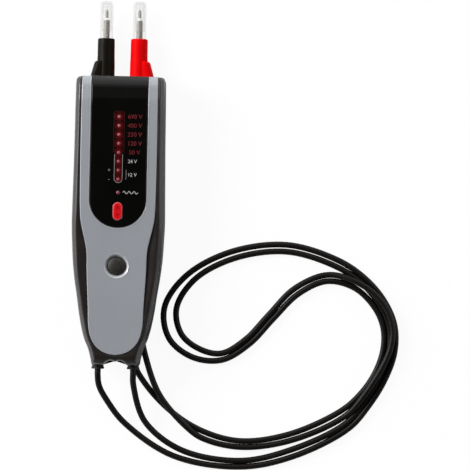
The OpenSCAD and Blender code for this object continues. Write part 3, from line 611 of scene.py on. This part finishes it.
def outward(outline):
    """The outward direction at each point of a closed outline."""
    ways = []
    for before, after in zip(outline[-1:] + outline[:-1], outline[1:] + outline[:1]):
        along = after - before
        ways.append(Vector((along.y, -along.x, 0)).normalized())
    return ways


def edge_share(p):
    """How much of its rounding the bumper's edge has: less round the scallop of the toe."""
    if p.y >= SCALLOP_TO:
        return 1.0
    return SCALLOP_SHARE + (1 - SCALLOP_SHARE) * eased((abs(p.x) - SCALLOP_HALF) / SCALLOP_SOFT)


def hollow_at(y, wide):
    """How deep the bumper is hollowed: only in its long wide stretch."""
    if y >= HOLLOW_TO:
        return 0.0
    across = clamped((wide - HOLLOW_NARROW) / (HOLLOW_WIDE - HOLLOW_NARROW))
    return HOLLOW_DEPTH * across * clamped((y - HOLLOW_FROM) / (HOLLOW_FULL - HOLLOW_FROM))


def bumper_level(y, rise):
    """The level of a rise over the joint, pressed down where the front falls."""
    return SHELL_DEPTH + rise * (FRAME_RISE - toe_fall(y) - end_fall(y)) / FRAME_RISE


def wall_rows(outer, ways):
    """Rows of points up the bumper's wall to its top edge."""
    rows = []
    for inset, rise in BUMPER_WALL:
        line = [p - way * inset * edge_share(p) for p, way in zip(outer, ways)]
        rows.append([at(p.x, p.y, bumper_level(p.y, rise)) for p in line])
    return rows


def top_rows(outer, ways, inner):
    """Rows of points from the bumper's edge over the hollow and down beside the panel."""
    edge = [p - way * BUMPER_EDGE * edge_share(p) for p, way in zip(outer, ways)]
    stages = [(share, PANEL_NEAR, rise, dip) for share, rise, dip in BUMPER_TOP]
    stages += [(1, near, rise, dip) for near, rise, dip in BUMPER_GAP]
    rows = []
    for share, near, rise, dip in stages:
        row = []
        for p, start, end in zip(outer, edge, inner):
            spot = start.lerp(end + (start - end).normalized() * near, share)
            level = bumper_level(spot.y, rise - dip * hollow_at(spot.y, (p - end).length))
            row.append(at(spot.x, min(spot.y, CASE_TOP - TOP_INSET), level))
        rows.append(row)
    return rows


def bumper():
    """Dark frame of the front half, with rounded edges and a soft hollow along each side."""
    outer = closed_outline([outside for outside, inside in OUTLINES])
    inner = closed_outline([inside for outside, inside in OUTLINES])
    ways = outward(outer)
    inside = [p - way * FRAME_WALL for p, way in zip(outer, ways)]
    rows = wall_rows(outer, ways) + top_rows(outer, ways, inner)
    rows += [[at(p.x, p.y, SHELL_DEPTH + rise) for p in inside] for rise in BUMPER_INSIDE]
    made = piece("bumper", skin(rows, ends="joined"), "frame", "case", angle=50)
    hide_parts("bumper_frame")


# the panel's outline on its right side, from the toe up
PANEL = [(0, 3.8), (6, 5.0), (11.15, 8.0), (15, 13.2), (17.1, 20), (17.7, 26), (17.85, 33), (18.15, 39),
         (18.85, 52), (19.15, 58.7), (19.25, 65), (19.65, 71.6), (20.95, 78), (22.5, 84.5), (23.8, 91),
         (24.2, 97), (24.4, 104), (24.65, 136), (24.5, 181)]
PANEL_END = (24.35, CASE_TOP - 0.1)
PANEL_THICK = 2.8
PANEL_GAP = 0.3
# places where the plates are cut, so that they bend with the falling end
END_CUTS = [166, SLOPE_FROM, 170, 172, 174, 176, EDGE_FROM, 178.5, 179.3, 180.8, 181.8, 182.6, 183.2, 183.6]
BUTTON_HOLE = 7.3


def window_outline(half, top, steps):
    """The window's outline from its right side round to its left side, open at the upper end."""
    return [(half, top)] + lower_half(WINDOW_ROUND, half, steps)[::-1] + [(-half, top)]


def panel():
    """Silver front panel round the window, with the button's hole."""
    right = [(p.x, p.y) for p in smooth_line(flat(PANEL), OUTLINE_STEPS)] + [PANEL_END]
    opening = window_outline(WINDOW_HALF + PANEL_GAP, PANEL_END[1], 40)
    loops = [right + opening + mirrored(right[1:]), circle(BUTTON, BUTTON_HOLE, 72)]
    levels = (PANEL_LEVEL - PANEL_THICK, PANEL_LEVEL)
    made = plate("silver_panel", loops, levels, 0.4, "silver", end_fall, END_CUTS)
    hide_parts("front_panel")


def button_rim():
    """Chamfered ring round the button's hole, in a lighter silver that paints a highlight on it."""
    section = [(6.0, -2.4), (6.0, -1.8), (6.15, -1.45), (7.5, -0.05), (7.75, 0.1), (7.95, 0.14),
               (8.1, 0.12), (8.1, -2.4)]
    domes("button_rim", [BUTTON], above(PANEL_LEVEL, section), "silver_painted_highlight", "case", 96,
          "joined")


def window_rim():
    """Thin rim round the window, open at the upper end, made bright by painted highlight in its lighter
    silver.
    """
    # distances from the window's edge, and heights over the panel
    section = [(0.1, -1), (0.16, -0.5), (0.55, 0.02), (0.75, 0.13), (0.95, 0.13), (1.05, -0.1), (1.05, -1)]
    side = [(WINDOW_HALF, y) for y in (183.7, 182.6, 181, 179.3, EDGE_FROM, 172, SLOPE_FROM, 150)]
    path = side + lower_half(WINDOW_ROUND, WINDOW_HALF, 60)[::-1] + mirrored(side)
    rows = []
    for out, z in above(PANEL_LEVEL, section):
        grown = 1 + out / WINDOW_HALF
        row = []
        for x, y in path:
            # only the round end grows downward
            y += min(0, y - WINDOW_ROUND) * (grown - 1)
            row.append(at(x * grown, y, z - end_fall(y)))
        rows.append(row)
    points, faces = skin(rows, around=False, ends="joined")
    starts = range(0, len(points), len(path))
    faces.append(tuple(starts))
    faces.append(tuple(start + len(path) - 1 for start in reversed(starts)))
    piece("window_rim", (points, faces), "silver_painted_highlight", "case", angle=60)


# the window, its lamps and the button
LAMP_HOLE = 1.25
CAPSULE_WIDE = 6.3
CAPSULE_LONG = 11.8
CAPSULE_RIM = 0.7
CAPSULE_GAP = 0.15


def window():
    """Dark window with a hole for each lamp."""
    outline = window_outline(WINDOW_HALF, CASE_TOP, 48)
    holes = [circle(y, LAMP_HOLE, 24) for y in LAMPS + [LAMP_SINGLE]]
    holes.append(slot_line(CAPSULE, CAPSULE_WIDE + 2 * CAPSULE_GAP, CAPSULE_LONG + 0.2))
    levels = (WINDOW_LEVEL - 4, WINDOW_LEVEL)
    made = plate("dark_window", [outline] + holes, levels, 0.22, "window", end_fall,
                 END_CUTS)
    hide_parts("display_window")


def lamps():
    """The row of lamps and the single lamp under it."""
    section = [(1.5, -7.6), (1.5, -4.6), (1.14, -4.4), (1.14, -0.35), (0.95, -0.1), (0.55, 0.08), (0, 0.14)]
    spots = LAMPS + [LAMP_SINGLE]
    made = domes("lamp_dots", spots, above(WINDOW_LEVEL, section), "lamp", "case")
    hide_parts("voltage_leds")


def capsule():
    """Capsule lamp: a light rim, a deeper core, and an arrow towards each end."""
    rim = slot_line(CAPSULE, CAPSULE_WIDE, CAPSULE_LONG)
    levels = (WINDOW_LEVEL - 4.2, WINDOW_LEVEL + 0.3)
    made = plate("capsule_lens_top", [rim], levels, 0.5, "lens_rim")
    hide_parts("capsule_lens")
    core = slot_line(CAPSULE, CAPSULE_WIDE - 2 * CAPSULE_RIM, CAPSULE_LONG - 2 * CAPSULE_RIM)
    levels = (WINDOW_LEVEL - 0.6, WINDOW_LEVEL + 0.38)
    plate("capsule_lens_core", [core], levels, 0.2, "lens")
    levels = (WINDOW_LEVEL + 0.2, WINDOW_LEVEL + 0.42)
    arrow = [(-1.5, 1.4), (0, 4.2), (1.5, 1.4)]
    for name, way in (("up", 1), ("down", -1)):
        loop = [(x, CAPSULE + way * y) for x, y in arrow][::way]
        plate("lens_mark_" + name, [loop], levels, 0.03, "lens_mark")


def button():
    """Push button with a low dome."""
    section = [(7.1, -4.5), (7.1, -3.4), (5.88, -3.3), (5.88, -1.1), (5.8, -0.75), (5.5, -0.4),
               (5.0, -0.15), (4.2, 0.1), (3.2, 0.3), (1.8, 0.46), (0, 0.5)]
    section = above(PANEL_LEVEL, section)
    made = domes("button_cap", [BUTTON], section, "button", "button", 96)
    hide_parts("push_button")


# prints on the window
INK = 0.03
BOLD = 0.04
VALUE_X = 10.2
VALUE_SHORT_X = 9.0
SIGN_X = -6.0
STRIP_HALF = 3.0
STRIP_TOP = 160.6
STRIP_NARROW = 2.2
STRIP_STEP = 134.6
STRIP_ROUND = 117.4


def label(name, text, x, y, size, material):
    """Printed characters, centred at a point."""
    curve = bpy.data.curves.new(name, "FONT")
    curve.body = text
    curve.size = size / MM
    curve.align_x = "CENTER"
    curve.align_y = "CENTER"
    curve.extrude = INK / MM
    curve.offset = BOLD / MM
    curve.resolution_u = 4
    mesh, shape = curve_mesh(name, curve)
    bmesh.ops.translate(shape, verts=shape.verts, vec=at(x, y, WINDOW_LEVEL + INK))
    dress(finished(name, mesh, shape), material, "case")


def stroke(name, points, width, material, low=WINDOW_LEVEL, high=WINDOW_LEVEL + 2 * INK):
    """A printed line through the points."""
    path = flat(points)
    rows = []
    for p, before, after in zip(path, path[:1] + path, path[1:] + path[-1:]):
        along = (after - before).normalized()
        aside = Vector((-along.y, along.x, 0)) * width / 2
        corners = [(p + aside, low), (p - aside, low), (p - aside, high), (p + aside, high)]
        rows.append([at(q.x, q.y, z) for q, z in corners])
    piece(name, skin(rows), material, "case", angle=None)


def values():
    """Plain voltages beside the lamps, and the two signs of direct current."""
    for volts, y in zip((690, 400, 230, 120, 50), LAMPS):
        label(f"value_{volts}", f"{volts} V", VALUE_X, y, 3.9, "print_red")
    label("value_24", "24 V", VALUE_SHORT_X, LAMPS[5], 3.1, "white")
    label("value_12", "12 V", VALUE_SHORT_X, (LAMPS[6] + LAMPS[7]) / 2, 3.1, "white")
    label("sign_plus", "+", SIGN_X, LAMPS[6], 3.0, "grey")
    label("sign_minus", "-", SIGN_X, LAMPS[7], 3.4, "grey")


def wave():
    """Wave sign beside the single lamp."""
    start = 3.2
    long = 9.6
    high = 0.8
    steps = 60
    waves = 3
    turn = 2 * math.pi * waves / steps
    points = [(start + long * i / steps, LAMP_SINGLE + high * math.sin(turn * i)) for i in range(steps + 1)]
    stroke("sign_wave", points, 0.45, "white")


def brackets():
    """Grey line round the three lower lamps, and the bracket at the value of the last two."""
    half = 2.6
    round_at = STRIP_ROUND + 0.2
    side = [(-half, STRIP_STEP - 1.3), (-half, round_at + 1.4)]
    stroke("lamp_bracket", side + lower_half(round_at, half, 14) + mirrored(side), 0.38, "grey")
    stroke("value_bracket", [(4.6, 123.4), (5.1, 122.8), (5.1, 117.6), (4.6, 117)], 0.28, "grey")


def lamp_strip():
    """Dark red field round the lamps, with a painted glow round each lamp, narrower inside the grey line,
    and the rim of its wide part.
    """
    edge = [(3.4, STRIP_STEP - 0.2), (3.4, STRIP_TOP - 0.8), (2.3, STRIP_TOP + 0.4)]
    rim = mirrored(edge)[::-1] + edge[::-1]
    stroke("lamp_strip_edge", rim, 0.3, "rim_red", WINDOW_LEVEL - 0.05, WINDOW_LEVEL + 0.03)
    side = [(STRIP_NARROW, STRIP_STEP), (STRIP_HALF, STRIP_STEP), (STRIP_HALF, STRIP_TOP - 1),
            (STRIP_HALF - 1, STRIP_TOP)]
    loop = side + mirrored(side) + lower_half(STRIP_ROUND, STRIP_NARROW, 14)
    holes = [circle(y, LAMP_HOLE + 0.05, 24) for y in LAMPS]
    levels = (WINDOW_LEVEL - 0.1, WINDOW_LEVEL + 0.04)
    # the field's material paints a glow round each lamp
    plate("lamp_strip", [loop] + holes, levels, 0.02, "glow")


def exit_boot(name, side):
    """Rubber boot of a lead where it leaves the case."""
    section = above(EXIT_FROM, [(0, 0), (1.9, 0), (2.1, 0.05), (4.0, 0.05), (4.15, 0.2), (4.15, 1.1),
                                (4.0, 1.25), (3.75, 1.3), (3.75, 2.8), (3.2, 2.9), (3.2, 6.6), (0, 6.6)])
    axis = (side * EXIT_REACH, EXIT_LEVEL)
    made = turned(f"exit_boot_{name}_body", section, axis, "boot", "case")
    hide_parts(f"exit_boot_{name}")


# the probes
GRIP_RINGS = range(105, 150, 5)
GRIP_DEEP = 0.25
GUARD_FROM = CASE_TOP + 0.6
GUARD_ROOT = 5.4
GUARD_THICK = 5.7
# the outward share at which the guard starts to stand out, and over which it grows
GUARD_STARTS = 0.35
GUARD_GROWS = 0.25
# the finger guard in rows towards the tip: height over its foot, and reach
GUARD = [(0, 9.6), (0.3, 9.8), (1, 9.8), (4.9, 8.8), (8.2, 7.9), (9.6, 7.4), (10.3, 6.6), (10.6, 5.6)]


def grip(name, axis):
    """Handle of a probe: rings under the hand, a slight taper, and a bore for its tip."""
    body = "probe_" + name
    low = HANDLE_R - GRIP_DEEP
    ring = [(HANDLE_R, 2.2), (low, 2.5), (low, 3.2), (HANDLE_R, 3.5)]
    section = above(PROBE_FROM, [(TIP_R, 0), (4.8, 0), (5.5, 0.3), (HANDLE_R, 1)])
    for y in GRIP_RINGS:
        section += above(y, ring)
    section += above(PROBE_TO, [(HANDLE_R, -19.7), (5.75, -15.1), (5.65, -13.2), (5.6, -11.2), (5.56, -3.7),
                                (5.54, -1), (5.42, -0.35), (5.05, 0), (2.2, 0), (2.02, -0.2), (TIP_R, -1.1)])
    made = turned(f"probe_{name}_grip", section, axis, name, body, 72, "joined")
    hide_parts(f"probe_{name}_handle")


def guard(name, axis, side):
    """Finger guard on the outer side of a handle. It narrows towards the tip."""
    rows = []
    for rise, reach in GUARD:
        row = []
        for a in turns(40):
            out = math.cos(a)
            radius = GUARD_ROOT + (reach - GUARD_ROOT) * eased((out - GUARD_STARTS) / GUARD_GROWS)
            up = max(-GUARD_THICK, min(GUARD_THICK, radius * math.sin(a)))
            row.append(at(axis[0] + side * radius * out, GUARD_FROM + rise, axis[1] + up))
        rows.append(row)
    piece(f"probe_{name}_guard", skin(rows), name, "probe_" + name, angle=50)


def tip(name, axis):
    """Bare two-step tip, with a bright cone at its shoulder."""
    body = "probe_" + name
    section = [(0, TIP_FROM), (TIP_R, TIP_FROM)]
    section += above(TIP_END, [(TIP_R, -7.4), (1.88, -7.25), (1.12, -5.65), (1.05, -5.5), (1.0, -1.7),
                               (0.8, -0.9), (0.4, -0.3), (0, 0)])
    made = turned(f"probe_{name}_pin", section, axis, "tip", body, 48)
    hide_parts(f"probe_{name}_tip")
    cone = above(TIP_END, [(1.0, -7.45), (1.96, -7.45), (TIP_R, -7.25), (1.2, -5.6), (1.0, -5.6)])
    turned(f"probe_{name}_collar", cone, axis, "collar", body, 48, "joined")


def tip_cap(name, axis):
    """Clear cap over a tip: a round end, an even wall and a mouth that holds the pin."""
    outer = 4.35
    wall = 1.1
    round_r = 2.6
    mouth = PROBE_TO + 0.2
    top = CAP_END - round_r
    angles = [math.radians(a) for a in range(0, 91, 10)]

    def end(radius):
        """The rounding of the cap's end, from its side to its middle."""
        return [(outer - round_r + radius * math.cos(a), top + radius * math.sin(a)) for a in angles]

    section = [(2.1, mouth), (3.9, mouth), (4.25, mouth + 0.15), (outer, mouth + 0.5), (outer, top)]
    section += end(round_r) + [(0, CAP_END), (0, CAP_END - wall)] + end(round_r - wall)[::-1]
    section += [(outer - wall, mouth + 7.1), (outer - wall, mouth + 5.5), (2.1, mouth + 4)]
    body = "tip_cap_" + name
    made = turned(body + "_shell", section, axis, "clear", body, 64, "joined")
    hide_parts("cap_" + name)


def relief(name, axis):
    """Ribbed rubber boot at the foot of a handle. Its ribs grow towards the handle."""
    ribs = 5
    pitch = 2.1
    grows = 0.36
    section = above(TAIL_FROM, [(0, 0), (2.2, 0), (2.7, 0.2), (2.8, 0.8)])
    for i in range(ribs):
        r = 2.9 + i * grows
        rib = [(r, 0), (r + 0.05, 0.3), (r + 0.75, 0.6), (r + 0.8, 1.3), (r + 0.2, 1.7)]
        section += above(TAIL_FROM + 1.4 + i * pitch, rib)
    section += above(PROBE_FROM, [(4.6, -2), (4.9, -1.6), (4.9, 0), (0, 0)])
    made = turned(f"probe_{name}_relief", section, axis, "boot", "probe_" + name, 56)
    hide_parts(f"probe_{name}_boot")


def probe(name, side):
    """A probe with its finger guard, tip, cap and boot."""
    axis = (side * PROBE_REACH, PROBE_LEVEL)
    grip(name, axis)
    guard(name, axis, side)
    tip(name, axis)
    tip_cap(name, axis)
    relief(name, axis)


# the leads

# routes as in the source: from the case round the loops to the fixed end, and then on to the probe
LEAD_BLACK = [(-EXIT_REACH, EXIT_FROM, EXIT_LEVEL),
    (-EXIT_REACH, EXIT_FROM - EXIT_STRAIGHT, EXIT_LEVEL), (-10.6, -17, 16.4), (-5.5, -27, 11), (6, -42, 4),
    (38, -63, 1.8), (82, -69.5, 1.8), (117, -62, 1.8), (153, -43, 1.8), (165.5, -28.5, 1.8),
    (176, -11, 1.8), (182.3, 7.5, 1.8), (182, 25.5, 1.8), (174.5, 42, 1.8), (161, 56.8, 1.8),
    (143, 68, 1.8), (110, 77, 1.8), (73, 71.5, 1.8), (44, 55, 1.8), (30.5, 34, 1.8), (34, 14, 1.8),
    (49.5, 2, 1.8), (69, 0.5, 1.8), (87, 11.5, 1.8), (102, 28, 1.8), (118.5, 45, 1.8), (137, 53.6, 1.8),
    (155.2, 49.6, 1.8), (168.4, 37.4, 1.8), (174.6, 24, 1.8), (174.8, 8.8, 1.8), (169, -7.7, 1.8),
    (158.8, -22, 1.8), (146.6, -32.3, 1.8), (114, -47.5, 1.8), (82, -52.5, 1.8), (56, -46, 1.8),
    (34, -32, 1.8), (15, -10.5, 1.8), (4, 14, 1.8)]
LEAD_RED = [(EXIT_REACH, EXIT_FROM, EXIT_LEVEL),
    (EXIT_REACH, EXIT_FROM - EXIT_STRAIGHT, EXIT_LEVEL), (11.7, -16, 16.4), (19.5, -41, 4.5),
    (43, -59, 1.8), (82, -65.5, 1.8), (116, -57.5, 1.8), (150.6, -40.1, 1.8), (162.4, -26.3, 1.8),
    (172.5, -9.4, 1.8), (178.5, 8.1, 1.8), (178.3, 24.7, 1.8), (171.3, 39.8, 1.8), (158.6, 53.8, 1.8),
    (141, 64.2, 1.8), (110, 72.5, 1.8), (76, 67.5, 1.8), (50, 53, 1.8), (38.5, 34, 1.8), (42, 17, 1.8),
    (54, 7.5, 1.8), (68.5, 4.8, 1.8), (84.5, 14.5, 1.8), (99, 30.5, 1.8), (116, 48.5, 1.8),
    (137.4, 57.8, 1.9), (157.4, 53, 5.6), (173, 40.9, 5.3), (180.2, 25.2, 5.3), (178.6, 8, 5.6),
    (160.6, -23.8, 4.9), (149, -36, 1.9), (115, -51.6, 1.8), (82, -56.5, 1.8),
    (57, -51, 3), (46, -43, 5.4), (32, -28, 5.5), (25.6, -17.5, 4.7), (19, 1, 1.8), (15, 18, 1.8)]
TAIL_BLACK = [(4, 14, 1.8), (-6.6, 38, 1.8), (-10.4, 55, 4.2),
    (-PROBE_REACH, TAIL_FROM - TAIL_STRAIGHT, PROBE_LEVEL), (-PROBE_REACH, TAIL_FROM, PROBE_LEVEL)]
TAIL_RED = [(15, 18, 1.8), (11.6, 38, 1.8), (10.9, 55, 4.2),
    (PROBE_REACH, TAIL_FROM - TAIL_STRAIGHT, PROBE_LEVEL), (PROBE_REACH, TAIL_FROM, PROBE_LEVEL)]
# the leads are drawn thicker than in the source, and lifted for it below a level
LEAD_R = 2.0
SOURCE_R = 1.8
LIFT_BELOW = 6
TAIL_SIDES = 20


def laid(point):
    """A point of a route, in metres, lifted for the thickness of the drawn lead."""
    x, y, z = point
    if z < LIFT_BELOW:
        z = LEAD_R + (z - SOURCE_R) * LEAD_R / SOURCE_R
    return at(x, y, z)


def cable(name, path):
    """The fixed stretch of a lead, as a curve."""
    curve = bpy.data.curves.new(f"lead_{name}_cable", "CURVE")
    curve.dimensions = "3D"
    spline = curve.splines.new("POLY")
    spline.points.add(len(path) - 1)
    for point, p in zip(spline.points, path):
        point.co = (*p, 1)
    curve.bevel_depth = LEAD_R / MM
    curve.bevel_resolution = 6
    curve.use_fill_caps = True
    made = dress(add_object(curve.name, curve), "lead", "case")
    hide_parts("lead_" + name)


def tail(name, path):
    """The last stretch of a lead: a tube that bends between the case and its probe."""
    rows = []
    for p, before, after in zip(path, path[:1] + path, path[1:] + path[-1:]):
        along = (after - before).normalized()
        aside = along.cross(Vector((0, 0, 1))).normalized()
        up = aside.cross(along)
        rows.append([p + (aside * math.cos(a) + up * math.sin(a)) * LEAD_R / MM for a in turns(TAIL_SIDES)])
    made = piece(f"lead_{name}_tail", skin(rows), "lead", None)
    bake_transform(made)
    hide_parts("lead_tail_" + name)


def lead(name, route, end):
    """A lead from the case to its probe, in its two stretches along one spline."""
    path = smooth_line([laid(p) for p in route + end[1:]], LEAD_STEPS)
    for p in path:
        p.z = max(p.z, LEAD_R / MM)
    split = (len(route) - 1) * LEAD_STEPS
    cable(name, path[:split + 1])
    tail(name, path[split:])


# nodes of the source that show as they are, with their materials
KEPT_NODES = {
    "rear_shell": "shell", "battery_cover": "cover", "case_seal": "seal", "case_screws": "steel",
    "cover_screw": "steel", "battery_cells": "cell", "battery_contacts": "steel", "circuit_board": "board",
    "lamp_box": "white", "tact_switch": "boot", "buzzer": "boot", "main_chip": "chip",
    "resistor_row": "ceramic", "cord_clamp": "steel", "lead_wires": "wire",
    "probe_black_resistor": "ceramic", "probe_red_resistor": "ceramic",
}


# the studio
def floor():
    """White floor that takes shadows, and that glows to the camera and through clear plastic."""
    half = 3.0
    level = -0.0003
    glowing = 0.93
    mesh = bpy.data.meshes.new("floor")
    corners = [(x * half, y * half, level) for x, y in ((-1, -1), (1, -1), (1, 1), (-1, 1))]
    mesh.from_pydata(corners, [], [(0, 1, 2, 3)])
    material, tree, surface = shader("floor_white")
    white = {"Base Color": (0.95, 0.95, 0.95, 1), "Roughness": 0.9, "Specular IOR Level": 0.1}
    fill(tree, surface, white)
    ray = node(tree, "LightPath").outputs
    seen = calc(tree, "MAXIMUM", ray["Is Camera Ray"], ray["Is Transmission Ray"])
    glow = node(tree, "Emission", {"Color": (1, 1, 1, 1)}).outputs["Emission"]
    share = calc(tree, "MULTIPLY", seen, glowing)
    mix = node(tree, "MixShader", {"Fac": share, 1: surface.outputs["BSDF"], 2: glow})
    fill(tree, tree.nodes["Material Output"], {"Surface": mix.outputs["Shader"]})
    mesh.materials.append(material)
    add_object("floor", mesh)


def studio():
    """Bright walls under a dim ceiling: brighter on the left, dimmer at the foot, lifted at the head."""
    world = bpy.data.worlds.new("studio")
    bpy.context.scene.world = world
    world.use_nodes = True
    tree = world.node_tree
    way = axes(tree, "Generated")
    walls = spread(tree, way["Z"], 1.15, 0.04, 0.25, 0.93, soft=True)
    sides = spread(tree, way["X"], 1.4, 0.6, -1, 1)
    foot = spread(tree, way["Y"], 0.3, 1, -0.9, 0.1)
    head = spread(tree, way["Y"], 0, 0.55, 0.2, 0.6, soft=True)
    room = calc(tree, "MULTIPLY", calc(tree, "MULTIPLY", walls, sides), foot)
    strength = calc(tree, "ADD", room, head)
    fill(tree, tree.nodes["Background"], {"Color": (1, 1, 1, 1), "Strength": strength})


def area_light(name, place, target, size, watts):
    """A square lamp at a place that faces a target, all in metres."""
    light = bpy.data.lights.new(name, "AREA")
    light.energy = watts
    light.size = size
    made = add_object(name, light)
    made.location = place
    made.rotation_euler = (Vector(target) - Vector(place)).to_track_quat("-Z", "Y").to_euler()


def camera():
    """The photograph's view: straight from above, turned a little on its own axis."""
    # width of the picture in pixels, size of a pixel at the level of the front, and that level
    picture = 470
    pixel = 0.6437
    level = 34
    distance = 1500
    middle = (75.98, 82.80)
    turn = 1.146
    view = bpy.data.cameras.new("camera")
    view.sensor_width = 36
    view.lens = view.sensor_width * distance / (picture * pixel)
    view.clip_end = 20
    made = add_object("camera", view)
    made.location = at(*middle, level + distance)
    made.rotation_euler = (0, 0, math.radians(turn))
    bpy.context.scene.camera = made
    bpy.context.scene.view_settings.view_transform = "Standard"


bumper()
panel()
button_rim()
window_rim()
window()
lamps()
capsule()
button()
values()
wave()
brackets()
lamp_strip()
exit_boot("left", -1)
exit_boot("right", 1)
probe("black", -1)
probe("red", 1)
lead("black", LEAD_BLACK, TAIL_BLACK)
lead("red", LEAD_RED, TAIL_RED)
for name, material in KEPT_NODES.items():
    dress(nodes[name], material, angle=30)

floor()
studio()
area_light("key", (-1.2, 0.5, 0.95), (0.03, 0, 0), 0.6, 24)
area_light("side", (-1.5, 0.25, 0.55), (0.03, 0, 0), 0.8, 6)
area_light("fill", (1.2, 0.3, 1.1), (0.05, 0, 0), 1.0, 3)
camera()

bpy.context.view_layer.update()
